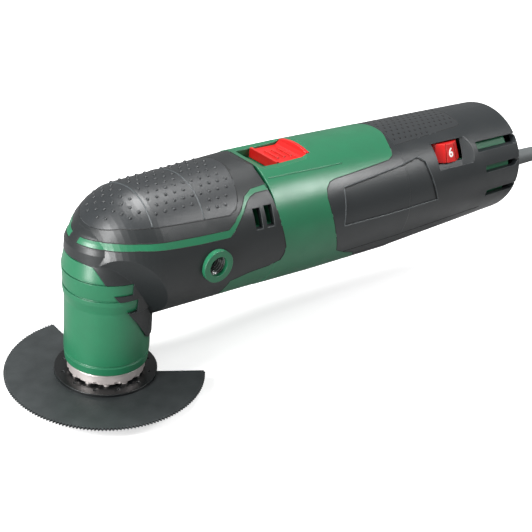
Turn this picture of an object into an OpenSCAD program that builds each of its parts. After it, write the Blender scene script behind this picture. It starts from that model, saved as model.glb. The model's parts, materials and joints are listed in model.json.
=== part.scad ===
// Oscillating multi tool: corded, slim round body along +X, spindle along +Z.
// The origin is on the spindle's axis, in the tool holder's seat face. Millimetres.

/* [Body] */
// Height of the motor's axis over the accessory seat
axis_z = 55.6; // [52:0.1:62]
// Outside radius of the green collar
collar_r = 30.7; // [29:0.1:34]
// Outside radius of the collar's front edge
collar_front_r = 30.1; // [29:0.1:33]
// Outside radius of the round nose
nose_r = 28.1; // [27:0.1:30]
// Distance of the nose's centre behind the spindle
nose_x = 12; // [10:0.5:14]
// How far the nose's centre lies under the motor's axis
nose_drop = 1.55; // [0:0.05:3]
// Place of the seam between gear head and motor housing
seam_x = 64; // [60:0.5:70]
// Place where the rear part starts
rear_x = 143.5; // [143:0.5:155]
// Outside radius of the rear part where it starts
rear_r = 30.6; // [29:0.1:34]
// Outside radius of the rear part at its waist
waist_r = 29.4; // [28:0.1:31]
// Outside radius where the rear end starts to round off
tail_r = 28.8; // [28:0.1:29.5]
// Length of the rear part up to its waist
waist_len = 57; // [50:1:65]
// Length of the rear part up to its round end
tail_len = 83; // [82:0.5:86]
// Length of the round end
end_len = 11.5; // [11:0.5:14]
// Rounding of the rear end's corner
end_round = 4; // [3.5:0.1:5]
// Rise of the rear part's axis, in degrees
rear_rise = 1.5; // [1:0.1:2]

/* [Shells] */
// Thickness of the grip and of the rear covers
cover_t = 2.6; // [2:0.1:3]
// Wall of the green housings under them
shell_t = 2.4; // [2:0.1:3]
// Thickness of the soft pads
pad_t = 1.2; // [0.8:0.1:1.6]
// Thickness of the green stripes
stripe_t = 1.0; // [0.6:0.1:1.6]
// Distance from the spindle's axis to each cheek of the gear head, at the body's axis
cheek_d = 17.9; // [17:0.1:19]
// Direction of each cheek from the rear, in degrees
cheek_turn = 130; // [122:1:138]
// Lean of each cheek from upright, in degrees
cheek_lean = 22; // [18:1:26]
// Gap between the two green stripes at the nose
stripe_gap = 5.4; // [4:0.2:7]
// Thickness of the label plates
label_t = 0.6; // [0.4:0.1:1]
// How far the label plates lie below the covers' surface
label_recess = 0.4; // [0.2:0.1:0.6]
// Clearance between fixed pieces that are pushed together
fit = 0.1; // [0.05:0.01:0.15]
// Clearance around pieces that move by hand
gap = 0.3; // [0.25:0.05:0.5]

/* [Neck] */
// Outside radius of the neck
neck_r = 17.9; // [17.5:0.1:19]
// How far the two rings stand out from the neck
ring_step = 1.2; // [0.6:0.1:1.6]
// Height of the neck's lower edge over the seat
neck_z = 6.4; // [6:0.1:7]
// Height of the rim at the neck's lower edge
rim_h = 3.8; // [3:0.1:5]
// Height of the lower groove over the seat
groove_low_z = 41.6; // [40:0.1:43]
// Height of the upper groove over the seat
groove_high_z = 49.4; // [48:0.1:50]
// Height of the upper ring's chamfered top
ring_top_z = 59.2; // [58:0.1:60]
// Width of each groove
groove_w = 0.8; // [0.5:0.1:1.2]

/* [Side handle holes] */
// Place of the side handle's holes behind the spindle
boss_x = 32.3; // [31:0.1:34]
// Height of the side handle's holes over the seat
boss_z = 54; // [53:0.1:56]
// Outside radius of the green ring
boss_r = 7; // [6.5:0.1:7.5]
// Radius of the threaded hole
thread_r = 4; // [3:0.1:4]
// Length of the thread
thread_len = 13; // [10:0.5:14]
// Distance of the ring's face from the middle
boss_y = 30.4; // [30:0.1:32]

/* [Accessory] */
// Diameter of the segment saw blade
blade_d = 85; // [70:1:90]
// Thickness of the blade
blade_t = 1; // [0.8:0.1:1.4]
// Angle of the missing sector, in degrees
blade_gap = 118.4; // [90:1:130]
// Angle at which the blade is clamped, in degrees
blade_turn = 30; // [0:30:60]
// Number of teeth
tooth_count = 124; // [60:1:140]
// Depth of a tooth
tooth_h = 1.1; // [0.5:0.1:1.2]
// Diameter of the blade's hub disc
hub_d = 43.6; // [40:0.2:48]
// Thickness of the hub disc
hub_t = 1.2; // [1:0.1:1.6]
// Number of drive pins
pin_count = 12; // [8:1:12]
// Radius of a drive pin
pin_r = 1.4; // [1.2:0.1:1.6]
// Outside radius of the tool holder
holder_r = 16.4; // [16.3:0.1:17]
// Radius of the clamp screw's shank
screw_r = 4; // [3:0.1:4]
// Radius of the clamp screw's head
screw_head_r = 7.5; // [7:0.1:9]
// Height of the clamp screw's head
screw_head_h = 3.5; // [3:0.1:5]
// Radius of the clamp washer
washer_r = 11; // [10:0.1:13]
// Thickness of the clamp washer
washer_t = 2; // [1.5:0.1:3]

/* [Drive] */
// Radius of the spindle in its lower bearing
spindle_r = 6; // [5.8:0.1:6]
// Outside radius of the lower bearing
low_bearing_r = 14; // [13:0.1:14]
// Width of the lower bearing
low_bearing_w = 8; // [7:0.1:8]
// Radius of the spindle's upper end
spindle_top_r = 4; // [3.5:0.1:4]
// Outside radius of the upper needle bearing
top_bearing_r = 7; // [6.5:0.1:7]
// Length of the upper needle bearing
top_bearing_w = 7; // [6:0.1:7]
// Eccentricity of the drive
eccentricity = 0.7; // [0.5:0.05:0.8]
// Distance of the eccentric's bearing from the spindle
eccentric_x = 29; // [28:0.1:30]
// Outside radius of the eccentric's bearing
ecc_bearing_r = 7; // [6.5:0.1:7]
// Width of the eccentric's bearing
ecc_bearing_w = 5; // [4:0.1:6]
// Radius of the motor shaft
shaft_r = 4; // [3.6:0.1:4]
// Place of the front motor bearing
front_bearing_x = 44; // [43:0.1:45]
// Place of the fan
fan_x = 54; // [53.5:0.1:55]
// Radius of the fan
fan_r = 20.5; // [18:0.1:20.5]
// Number of fan blades
fan_blades = 11; // [7:1:13]
// Place of the stator's front face
stator_x = 78; // [78:0.5:80]
// Length of the stator core
stator_len = 34; // [30:0.5:35]
// Radius of the stator's bore
stator_bore_r = 17.6; // [17:0.1:18]
// Air gap of the motor
air_gap = 0.6; // [0.4:0.1:1]
// Number of armature slots
slot_count = 12; // [8:1:14]
// Place of the commutator
commutator_x = 121; // [120.5:0.1:122]
// Radius of the commutator
commutator_r = 9.5; // [9:0.1:10]
// Place of the rear motor bearing
rear_bearing_x = 136; // [135.5:0.1:136.5]

/* [Controls] */
// Place of the switch recess's front end
recess_x = 67.9; // [67:0.1:67.9]
// Length of the switch recess
recess_len = 26.6; // [26:0.1:28]
// Half width of the slide button
button_half = 9.2; // [8.5:0.1:9.5]
// Travel of the slide switch
switch_travel = 7.5; // [5:0.5:7.5]
// Place of the speed dial
dial_x = 176.8; // [175:0.1:178]
// Angle of the speed dial's hollow from the top, in degrees
dial_angle = 52; // [50:1:54]
// Angle of the speed dial's axis from the level, in degrees
dial_tilt = 86; // [85:1:88]
// Radius of the speed dial, at the middle of its flats
dial_r = 11.8; // [11:0.1:12]
// Width of the speed dial
dial_w = 8.4; // [8:0.1:9]
// Slope of the speed dial's flats, in degrees
dial_taper = 19; // [16:0.5:21]
// Number of flats on the speed dial
dial_flats = 12; // [10:1:14]

/* [Cord] */
// Height of the cord's axis over the seat where it leaves
cord_z = 49.5; // [48:0.1:51]
// Diameter of the cord
cord_d = 7; // [6:0.1:7]
// Length of the cord's sleeve
sleeve_len = 48.5; // [46:0.5:50]
// Radius of the sleeve where it leaves the body
sleeve_r = 5; // [4.5:0.1:5]
// Radius of the sleeve's free end
sleeve_end_r = 4.1; // [4:0.1:4.4]
// Number of cord turns beside each other in the coil
coil_columns = 3; // [3:1:3]
// Number of cord layers in the coil
coil_layers = 3; // [3:1:3]
// Radius of the coil at the middle of its turns
coil_mid_r = 39.5; // [38:0.5:42]
// Place of the coil's centre along X
coil_x = 388; // [380:1:400]
// Place of the coil's centre along Y
coil_y = -12; // [-20:1:0]
// Length of the plug's body
plug_len = 36; // [34:1:38]
// Width of the plug's body
plug_w = 34; // [30:1:36]
// Thickness of the plug's body
plug_t = 14; // [13:0.5:16]
// Distance between the plug's pins
plug_pitch = 19; // [19:0.1:19]
// Radius of a plug pin
plug_pin_r = 2.4; // [2:0.1:2.4]
// Length of a plug pin
plug_pin_len = 19; // [18:0.5:19]

/* [Hidden] */
$fn = 72;

// Long enough to cut through the body
through = 90;
// Angle between the points of a rounded outline
arc_step = 5;
front_span = seam_x - nose_x;
front_tilt = atan(nose_drop / front_span);
// The front form runs on a little behind the seam, under the collar's edge
front_len = front_span + 6;
front_slope = (collar_front_r - 0.15 - nose_r) / front_span;
inner_r = collar_front_r - cover_t - shell_t;
ring_r = neck_r + ring_step;
pin_circle_r = holder_r - pin_r - 0.5;
hub_z = -hub_t;
blade_z = hub_z - blade_t;
washer_z = blade_z - washer_t;
floor_z = washer_z - screw_head_h;
cord_r = cord_d / 2;
commutator_len = 12;
rear_bearing_w = 5;
rear_bearing_r = 8.5;
rear_shaft_r = 3;
front_bearing_w = 7;
front_bearing_r = 11;
front_shaft_r = 2.5;
ecc_bore_r = 4;
spindle_mid_r = spindle_r - 0.5;
low_bearing_z = neck_z + 4.8;
top_bearing_z = axis_z + 8.4;
fork_half = 5.5;
fork_clear = 2 * eccentricity + 0.2;
fork_inner = ecc_bearing_r + fork_clear;
fork_arm = 4;
motor_inner_r = inner_r;
housing_end = 78;
tongue_t = 0.6;
recess_half = button_half + gap;

// ---------- shared shapes ----------

// Turns an outline of [radius, place] points about the X axis
module turned_x() {
    rotate([0, 90, 0]) rotate_extrude() children();
}

// A ring about the X axis at the motor's height
module x_ring(x0, width, outer, inner) {
    translate([x0, 0, axis_z]) turned_x() translate([inner, 0]) square([outer - inner, width]);
}

// A plain bar about the X axis at the motor's height
module x_bar(x0, width, radius) {
    translate([x0, 0, axis_z]) rotate([0, 90, 0]) cylinder(h = width, r = radius);
}

// A side view outline, pushed through the body from left to right
module side_prism(points, depth = through) {
    rotate([90, 0, 0]) linear_extrude(height = depth, center = true) polygon(points);
}

// Moves outline points to an anchor
function moved(points, x0, z0) = [for (p = points) [x0 + p[0], z0 + p[1]]];

// Everything on the left (-1) or the right (1) of the middle plane
module half_space(side) {
    translate([-through, side > 0 ? 0 : -through, -through])
        cube([5 * through, through, 3 * through]);
}

// A slab across the body from x0 to x1
module slab(x0, x1) {
    translate([x0, -through / 2, -through / 2]) cube([x1 - x0, through, 2 * through]);
}

// ---------- the body's form ----------

function front_profile(inset) = concat(
    [for (a = [0:arc_step:90]) [(nose_r - inset) * sin(a), -(nose_r - inset) * cos(a)]],
    [[nose_r + front_slope * front_len - inset, front_len], [0, front_len]]);

// Radius of each cheek, from its top to its foot
cheek_round = 80;

// The gear head's outside, moved inwards by inset, with a cheek on each side of the neck
module front_form(inset = 0) {
    difference() {
        translate([nose_x, 0, axis_z - nose_drop]) rotate([0, 90 - front_tilt, 0])
            rotate_extrude() polygon(front_profile(inset));
        for (side = [-1, 1]) rotate([0, 0, side * cheek_turn])
            translate([cheek_d - inset / cos(cheek_lean), 0, axis_z]) rotate([0, cheek_lean, 0])
                difference() {
                    translate([-10, -through / 2, -32]) cube([50, through, 58]);
                    translate([-cheek_round, 0, -6]) rotate([90, 0, 0])
                        cylinder(h = through + 2, r = cheek_round, center = true);
                }
    }
}

// The collar's outside, moved inwards by inset
module collar_form(inset = 0) {
    translate([seam_x, 0, axis_z]) turned_x() polygon([
        [0, 0], [collar_front_r - inset, 0], [collar_r - inset, 31],
        [collar_r - inset, rear_x - seam_x], [0, rear_x - seam_x]]);
}

// The rear end is a rounded corner that runs on into a shallow cap
corner_turn = 55;
cap_steps = 7;
cap_edge = tail_r - end_round * (1 - cos(corner_turn));
cap_h = end_len - end_round * sin(corner_turn);
cap_r = (pow(cap_edge, 2) + pow(cap_h, 2)) / (2 * cap_h);
function cap_place(radius, inset) =
    tail_len + end_len - cap_r + sqrt(pow(cap_r - inset, 2) - pow(radius, 2));

function rear_profile(inset) = let (
    round = max(end_round - inset, 0.6),
    middle = tail_r - inset - round,
    edge = middle + round * cos(corner_turn),
    start = cap_place(edge, inset) - round * sin(corner_turn))
    concat([[0, -2], [rear_r - inset, -2], [waist_r - inset, waist_len]],
        [for (a = [0:arc_step:corner_turn]) [middle + round * cos(a), start + round * sin(a)]],
        [for (k = [cap_steps - 1:-1:0]) let (radius = edge * k / cap_steps)
            [radius, cap_place(radius, inset)]]);

// The rear part's outside, moved inwards by inset
module rear_form(inset = 0) {
    intersection() {
        translate([rear_x, 0, axis_z]) rotate([0, 90 - rear_rise, 0])
            rotate_extrude() polygon(rear_profile(inset));
        slab(rear_x, rear_x + 2 * through);
    }
}

// ---------- outlines of the covers, from the side ----------

// Lower rear edge of the grip, from the seam's anchor
grip_rear_edge = [[0, 60], [0, 30], [-1.6, 27.6], [-1.5, 24.1], [-0.6, 19.6], [0.1, 14.3],
    [1.6, 6.9], [3.8, -1.3], [3.4, -4.7], [2.2, -7.6]];
grip_low_edge = [[2.2, -7.6], [-2.6, -9.1], [-12.8, -10.1], [-22.2, -12.5], [-23.2, -18.3],
    [-23.2, -60]];
// Edge of the grip around the neck, from the front to the tip of its tongue
tongue_z = neck_z + 12.8;
grip_neck_edge = [[nose_x + 10, tongue_z], [10, tongue_z + 0.4], [8.2, tongue_z + 2.3],
    [3.4, tongue_z + 9.6], [-2.2, groove_low_z - 5.4], [2.2, groove_low_z - 5.4],
    [2.2, groove_low_z + 0.4], [-6, groove_low_z + 0.4], [-7.9, groove_low_z + 3],
    [-0.4, groove_low_z + 3], [-0.4, groove_high_z + 0.4], [-11.1, groove_high_z + 0.4],
    [-14.2, ring_top_z - 2.7], [-15.8, ring_top_z - 2.3], [-17.7, ring_top_z - 1.7],
    [-through / 2, ring_top_z - 1.7]];
grip_outline = concat([[-through / 2, axis_z + 60]],
    moved(grip_rear_edge, seam_x, axis_z),
    moved(grip_low_edge, seam_x, axis_z), grip_neck_edge);

// The green housing under the grip ends at the seam
module grip_prism() {
    side_prism(grip_outline);
}

// Outline of the rear covers, from the rear anchor
rear_outline = [[0, 60], [-0.3, 30.3], [-2.7, 28.3], [-5.1, 24.2], [-8.7, 23], [-21.8, 22.2],
    [-44.3, 21], [-47.7, 20.4], [-50.4, 18.4], [-51.3, 15.1], [-50.2, 9.2], [-47.4, -0.5],
    [-42.8, -11.6], [-35, -15.4], [-27.8, -17.9], [-25.8, -20.5], [-24.6, -24], [-24.6, -60],
    [170, -60], [170, 60]];

module rear_prism() {
    side_prism(moved(rear_outline, rear_x, axis_z));
}

pad_outline = concat([[-through / 2, axis_z + 13.7]], moved(
    [[-23, 14.2], [-16.4, 16.4], [-7.5, 17.1], [1.5, 16.9], [15, 16.6], [29, 16.4],
        [32.6, 18.1], [34.5, 20.1], [36.3, 23.5], [38, 27], [39.8, 29.1], [40, 45]],
    nose_x, axis_z), [[-through / 2, axis_z + 45]]);

stripe_outline = moved(
    [[-32, 8.4], [-23.8, 8.4], [-21.3, 8.6], [-17.2, 9.2], [-12.6, 9.7], [-5.3, 9.4], [3.3, 8.9],
        [12.5, 8.5], [27.3, 8.5], [30.2, 11], [35, 15.7], [38.6, 19.3], [41.1, 20.9],
        [44.2, 21.8], [52, 22.1], [52, 24], [42.9, 23.3], [38.6, 21.5], [34.8, 17.5],
        [30.5, 13.9], [26.9, 11.6], [13, 11.7], [4, 11.9], [-4.7, 12.2], [-12, 12.3],
        [-18, 11.8], [-20.6, 11.4], [-22.5, 11], [-27.2, 10.7], [-32, 10.6]],
    nose_x, axis_z);

label_outline = moved(
    [[-40.4, 17.1], [-3.9, 19.8], [9.7, 21.4], [13.2, 19.4], [15.5, 12.8], [17.8, 6.5],
        [19.8, 1.4], [-13.5, 1], [-42.2, 1.3]],
    rear_x, axis_z);

// Cooling slots: [place, width, lower edge, upper edge] from the seam
grip_slots = [[-11.9, 3.7, 9.2, 17], [-6.2, 4, 9.3, 17.4]];
// The switch lies on a flat deck, with a ramp down to it through the grip's edge
deck_z = collar_front_r - 2.7;
ramp_outline = [[-10, 31], [0, deck_z + 1], [3.9, deck_z], [12, deck_z], [26, deck_z + 0.7],
    [35, 31.5], [35, 40], [-10, 40]];

// Cooling slots: [place, length, lower edge, upper edge] from the rear anchor
rear_slots = [[52.5, 32, 17.9, 22.1], [56.5, 26, 7.8, 11.3], [60, 24, -5.6, -2.2]];

// ---------- gear head ----------

neck_profile = [[0, neck_z], [neck_r - 0.4, neck_z], [neck_r - 0.1, neck_z + rim_h - 0.3],
    [neck_r - 0.6, neck_z + rim_h], [neck_r - 0.6, neck_z + rim_h + 0.5],
    [neck_r, neck_z + rim_h + 0.9], [neck_r, groove_low_z - 6],
    [ring_r - 0.4, groove_low_z - 2], [ring_r - 0.4, groove_low_z], [ring_r - 1, groove_low_z],
    [ring_r - 1, groove_low_z + groove_w], [ring_r - 0.5, groove_low_z + groove_w],
    [ring_r, groove_high_z], [ring_r - 0.7, groove_high_z],
    [ring_r - 0.7, groove_high_z + groove_w], [ring_r + 0.1, groove_high_z + groove_w],
    [ring_r - 0.1, groove_high_z + 2], [neck_r + 0.1, ring_top_z - 2.4],
    [neck_r - 1.2, ring_top_z - 2.4], [neck_r - 1.2, ring_top_z], [0, ring_top_z]];

// The neck is sunk by this radius where the grip lies on it
neck_seat_r = neck_r - 0.3;

module grip_seat() {
    intersection() {
        grip_prism();
        difference() {
            translate([0, 0, groove_low_z - 6])
                cylinder(h = ring_top_z - groove_low_z + 6.1, r = ring_r + 1);
            translate([0, 0, groove_low_z - 7]) cylinder(h = ring_top_z, r = neck_seat_r);
        }
    }
}

// The grip's collar over the neck, with a shoulder that runs into the nose, grown by room
module grip_collar(room = 0) {
    rotate_extrude() polygon([[0, groove_low_z - 6], [ring_r + 0.2 + room, groove_low_z - 6],
        [ring_r + 0.3 + room, groove_high_z + 1], [neck_r + 0.35 + room, ring_top_z - 2.4],
        [neck_r + 0.15 + room, ring_top_z + 2.4], [neck_r - 0.6 + room, ring_top_z + 4.4 + room / 2],
        [neck_r - 1.8 + room, ring_top_z + 6.2 + room / 2],
        [neck_r - 3.5 + room, ring_top_z + 8 + room], [neck_r - 5.4, ring_top_z + 9.4 + room],
        [0, ring_top_z + 9.4 + room]]);
}

bore_profile = [[0, neck_z - 1], [spindle_r + 4.5, neck_z - 1], [spindle_r + 4.5, low_bearing_z],
    [low_bearing_r, low_bearing_z], [low_bearing_r, low_bearing_z + low_bearing_w],
    [low_bearing_r - 1, low_bearing_z + low_bearing_w + 1], [low_bearing_r - 1, ring_top_z + 1],
    [0, ring_top_z + 1]];

// Holes through the side of the gear head for the handle's ring
module handle_holes(radius) {
    translate([boss_x, 0, boss_z]) rotate([90, 0, 0])
        cylinder(h = through, r = radius, center = true);
}

module slot_cuts(slots, x0) {
    for (s = slots)
        translate([x0 + s[0], -through / 2, axis_z + s[2]]) cube([s[1], through, s[3] - s[2]]);
}

groove_h = 1.5;

// The rear slots, each of which runs on as a narrow groove to the end of the body
module rear_slot_cuts() {
    slot_end = tail_len + end_len + 5;
    for (s = rear_slots) for (side = [-1, 1]) {
        depth_y = sqrt(pow(tail_r - cover_t, 2) - pow(max(abs(s[2]), abs(s[3])), 2)) - 2.5;
        translate([rear_x, side * (depth_y + through / 2), axis_z]) side_prism([
            [s[0], s[2]], [s[0], s[3]], [slot_end, s[3]], [slot_end, s[3] - groove_h],
            [s[0] + s[1], s[3] - groove_h], [s[0] + s[1] - 2, s[2]]]);
    }
}

screw_circle = inner_r - 0.4;
flange_len = 6;
flange_x = seam_x - flange_len;

// Places four shapes around the seam's screw circle
module at_screws() {
    for (a = [45:90:315])
        translate([0, screw_circle * cos(a), axis_z + screw_circle * sin(a)])
            rotate([0, 90, 0]) children();
}

module gear_housing() {
    color("seagreen") difference() {
        union() {
            difference() {
                intersection() {
                    front_form(cover_t);
                    grip_prism_inner();
                }
                front_form(cover_t + shell_t);
            }
            intersection() {
                difference() {
                    front_form(cover_t);
                    x_bar(flange_x - 1, flange_len + 2, fan_r + 1.2);
                }
                slab(flange_x, seam_x);
            }
            difference() {
                rotate_extrude() polygon(neck_profile);
                grip_seat();
            }
            intersection() {
                translate([0, 0, top_bearing_z - 1]) cylinder(h = 30, r = top_bearing_r + 2.5);
                front_form(cover_t);
            }
        }
        rotate_extrude() polygon(bore_profile);
        translate([0, 0, top_bearing_z - 2]) cylinder(h = top_bearing_w + 2.2, r = top_bearing_r);
        difference() {
            front_form(cover_t + shell_t);
            translate([0, 0, top_bearing_z - 1]) cylinder(h = 30, r = top_bearing_r + 2.5);
            slab(flange_x, seam_x + 10);
            translate([0, 0, -1]) cylinder(h = low_bearing_z + low_bearing_w + 1, r = neck_r);
        }
        handle_holes(boss_r);
        slot_cuts(grip_slots, seam_x);
        translate([flange_x - 1, 0, 0]) at_screws() cylinder(h = flange_len + 2, r = screw_body_r);
        translate([flange_x - 1, 0, 0]) at_screws() cylinder(h = 1 + screw_cap_h, r = screw_cap_r);
    }
}

// The grip's outline, ended at the seam for the housing under it
module grip_prism_inner() {
    intersection() {
        side_prism(concat([[-through / 2, axis_z + 60], [seam_x, axis_z + 60], [seam_x, -20],
            [nose_x + 10, -20]], grip_neck_edge));
        slab(-through, seam_x);
    }
}

screw_body_r = 1.4;
screw_cap_r = 2;
screw_cap_h = 1.6;

module front_grip() {
    color([0.2, 0.2, 0.21]) difference() {
        intersection() {
            union() {
                difference() {
                    front_form();
                    front_form(cover_t);
                }
                difference() {
                    union() {
                        grip_collar();
                        translate([0, 0, tongue_z - 1])
                            cylinder(h = groove_low_z - tongue_z + 4, r = neck_r + tongue_t);
                    }
                    front_form(cover_t);
                }
            }
            grip_prism();
        }
        translate([0, 0, -1]) cylinder(h = groove_low_z - 5, r = neck_r);
        translate([0, 0, groove_low_z - 6.05])
            cylinder(h = ring_top_z - groove_low_z + 6.15, r = neck_seat_r + 0.1);
        intersection() {
            side_prism(pad_outline);
            difference() {
                front_form(-1);
                front_form(pad_t);
            }
        }
        stripe_solid(-1, 1);
        stripe_solid(1, 1);
        handle_holes(boss_r);
        slot_cuts(grip_slots, seam_x);
        side_prism(moved(ramp_outline, seam_x, axis_z));
    }
}

module front_pad() {
    color([0.24, 0.24, 0.25]) intersection() {
        difference() {
            front_form();
            front_form(pad_t);
        }
        side_prism(pad_outline);
    }
}

// A stripe in its groove, standing proud by lift
module stripe_solid(side, lift = 0) {
    intersection() {
        difference() {
            union() {
                front_form(-lift);
                grip_collar(lift);
            }
            front_form(stripe_t);
            grip_collar(-stripe_t);
        }
        side_prism(stripe_outline);
        slab(-through, seam_x - 1);
        translate([0, side * stripe_gap / 2, 0]) half_space(side);
    }
}

module left_stripe() {
    color("seagreen") stripe_solid(-1);
}

module right_stripe() {
    color("seagreen") stripe_solid(1);
}

insert_r = thread_r + 2;
ring_lip = 2;

module handle_ring(side) {
    translate([boss_x, side * boss_y, boss_z]) rotate([side * 90, 0, 0]) difference() {
        cylinder(h = ring_lip + thread_len, r = boss_r);
        translate([0, 0, -1]) cylinder(h = ring_lip + 2, r = thread_r + 0.3);
        translate([0, 0, ring_lip]) cylinder(h = thread_len + 1, r = insert_r);
    }
}

module thread_insert(side) {
    translate([boss_x, side * (boss_y - ring_lip), boss_z]) rotate([side * 90, 0, 0]) difference() {
        cylinder(h = thread_len, r = insert_r);
        translate([0, 0, -1]) cylinder(h = thread_len + 2, r = thread_r);
    }
}

module left_handle_ring() {
    color("seagreen") handle_ring(-1);
}

module right_handle_ring() {
    color("seagreen") handle_ring(1);
}

module left_thread_insert() {
    color("silver") thread_insert(-1);
}

module right_thread_insert() {
    color("silver") thread_insert(1);
}

// ---------- motor housing and rear covers ----------

module motor_housing() {
    tube_end = rear_x + housing_end;
    color("seagreen") difference() {
        union() {
            difference() {
                collar_form();
                difference() {
                    rear_prism();
                    collar_form(cover_t);
                }
                difference() {
                    grip_prism();
                    collar_form(cover_t + fit);
                }
                x_bar(seam_x - 1, rear_x - seam_x + 2, motor_inner_r);
            }
            difference() {
                intersection() {
                    rear_form(cover_t);
                    slab(rear_x, tube_end);
                }
                rear_form(cover_t + shell_t);
            }
            difference() {
                intersection() {
                    front_form();
                    side_prism(moved(concat(grip_low_edge, [[2.2, -60]]), seam_x, axis_z));
                    slab(0, seam_x);
                }
                front_form(cover_t);
            }
            intersection() {
                translate([seam_x, 0, 0]) at_screws() cylinder(h = 11, r = 2.8);
                x_bar(seam_x, 12, inner_r + 1);
            }
            intersection() {
                rear_form(cover_t + 1);
                dial_frame() board_rails();
            }
            intersection() {
                translate([recess_x - 1.2, -recess_half - 1.2, axis_z + pocket_floor - 1.2])
                    cube([pocket_len + 2.1, 2 * recess_half + 2.4, 6]);
                x_bar(seam_x, 40, inner_r + 1);
            }
        }
        side_prism(moved(ramp_outline, seam_x, axis_z));
        translate([seam_x - 1, 0, 0]) at_screws() cylinder(h = 11.5, r = screw_body_r);
        translate([recess_x, -recess_half, axis_z + recess_floor])
            cube([recess_len, 2 * recess_half, 20]);
        translate([recess_x, -recess_half, axis_z + pocket_floor])
            cube([pocket_len, 2 * recess_half, 20]);
        translate([recess_x + 4, -rod_half - gap, axis_z + inner_r - 1])
            cube([rear_x - recess_x + 12, 2 * (rod_half + gap), rod_z + rod_t + gap - inner_r + 1]);
        dial_frame() dial_room(0.7, 0.7);
        dial_frame(dial_angle) dial_hollow(hollow_wall + fit);
        board_solid(fit);
    }
}

recess_floor = inner_r + 0.8;
// A deeper pocket at the recess's front end takes the button's lip
pocket_floor = inner_r - 1.8;
lip_t = 1;
pocket_len = switch_travel + lip_t + 2 * gap;
rod_half = 3;
rod_z = inner_r + 0.15;
rod_t = 1.2;

// Stands on the rear's axis at the dial: X along the body, Z outwards at the angle
module dial_frame(angle = dial_tilt) {
    translate([dial_x, 0, axis_z + (dial_x - rear_x) * sin(rear_rise)])
        rotate([angle, 0, 0]) children();
}

// The dial's centre, above and out from the rear's axis
dial_lift = 17.6;
dial_axis_r = waist_r - dial_r - 5.9;
dial_spread = dial_w / 2 * tan(dial_taper);

// The space that the dial turns in, which leaves more room behind it than before it
module dial_room(room, shift = 0) {
    translate([shift, dial_lift, dial_axis_r]) rotate([90, 0, 0])
        cylinder(h = dial_w + 2 * room, r1 = dial_r - dial_spread + room + shift + 0.4,
            r2 = dial_r + dial_spread + room + shift + 0.5, center = true);
}

// The shallow hollow around the dial, which runs out to the rear
hollow_front = -11.2;
hollow_rear = 9.2;
hollow_low = dial_w / 2 + 1.4;
hollow_high = dial_w / 2 + 3.7;
hollow_depth = 2.9;
hollow_z = rear_r + (waist_r - rear_r) * (dial_x - rear_x) / waist_len - hollow_depth;
hollow_wall = 1.4;

// The hollow, or with room the pocket around it in the cover
module dial_hollow(room = 0) {
    translate([0, hollow_high + room, hollow_z]) rotate([90, 0, 0])
        linear_extrude(height = hollow_low + hollow_high + 2 * room) polygon([
            [hollow_front - room, -room], [hollow_rear - 1, -room],
            [hollow_rear + 6.6 + room, hollow_depth - 0.1], [hollow_rear + 8 + room, 6.4],
            [hollow_front - room, 6.4]]);
}

// One half of the rear cover, side -1 is the left
module rear_cover(side) {
    difference() {
        union() {
            difference() {
                intersection() {
                    union() {
                        intersection() {
                            collar_form();
                            rear_prism();
                        }
                        rear_form();
                    }
                    half_space(side);
                }
                collar_form(cover_t);
                rear_form(cover_t);
            }
            intersection() {
                at_cover_screws(0) cylinder(h = through, r = cover_boss_r, center = true);
                rear_form(cover_t / 2);
                half_space(side);
                slab(rear_x + housing_end + 0.5, rear_x + 2 * through);
            }
            intersection() {
                dial_frame(dial_angle) dial_hollow(hollow_wall);
                rear_form(cover_t / 2);
                half_space(side);
            }
        }
        at_cover_screws(cover_head_y) cylinder(h = cover_screw_len + 1, r = cover_screw_r);
        at_cover_screws(cover_head_y - cover_head_h) rotate([180, 0, 0])
            cylinder(h = through, r = cover_head_r);
        intersection() {
            rear_pad_prism();
            difference() {
                rear_form(-1);
                rear_form(pad_t);
            }
        }
        label_solid(side, -1);
        rear_slot_cuts();
        dial_frame(dial_angle) dial_hollow();
        dial_frame() dial_room(0.5, 0.7);
        translate([rear_x + tail_len, 0, cord_z]) rotate([0, 90, 0])
            cylinder(h = 2 * end_len, r = sleeve_r + fit);
    }
}

cover_boss_r = 2.9;
cover_screw_r = 1.2;
cover_head_r = 2;
cover_head_y = 9;
cover_head_h = 1.8;
cover_screw_len = 17;
cover_screw_places = [[housing_end + 5.5, 14.2], [housing_end + 5.5, -20.9]];

// The two screws that draw the rear covers together, from the right
module at_cover_screws(y) {
    for (p = cover_screw_places)
        translate([rear_x + p[0], y, axis_z + p[1]]) rotate([90, 0, 0]) children();
}

module left_rear_cover() {
    color([0.2, 0.2, 0.21]) rear_cover(-1);
}

module right_rear_cover() {
    color([0.2, 0.2, 0.21]) rear_cover(1);
}

// Plan view outline of the rear pad
module rear_pad_prism() {
    translate([rear_x, 0, axis_z]) linear_extrude(height = 60) polygon([
        [0, -14.8], [46, -11.9], [49.5, -11.3], [50.5, 0], [49.5, 11.3], [46, 11.9], [0, 14.8]]);
}

module rear_pad() {
    color([0.24, 0.24, 0.25]) intersection() {
        difference() {
            rear_form();
            rear_form(pad_t);
        }
        rear_pad_prism();
    }
}

// A label plate whose face lies the given depth below the cover's surface
module label_solid(side, depth = label_recess) {
    intersection() {
        union() {
            difference() {
                collar_form(depth);
                collar_form(label_recess + label_t);
            }
            difference() {
                rear_form(depth);
                rear_form(label_recess + label_t);
            }
        }
        side_prism(label_outline);
        half_space(side);
    }
}

module left_label_plate() {
    color([0.17, 0.17, 0.18]) label_solid(-1);
}

module right_label_plate() {
    color([0.17, 0.17, 0.18]) label_solid(1);
}

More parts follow.
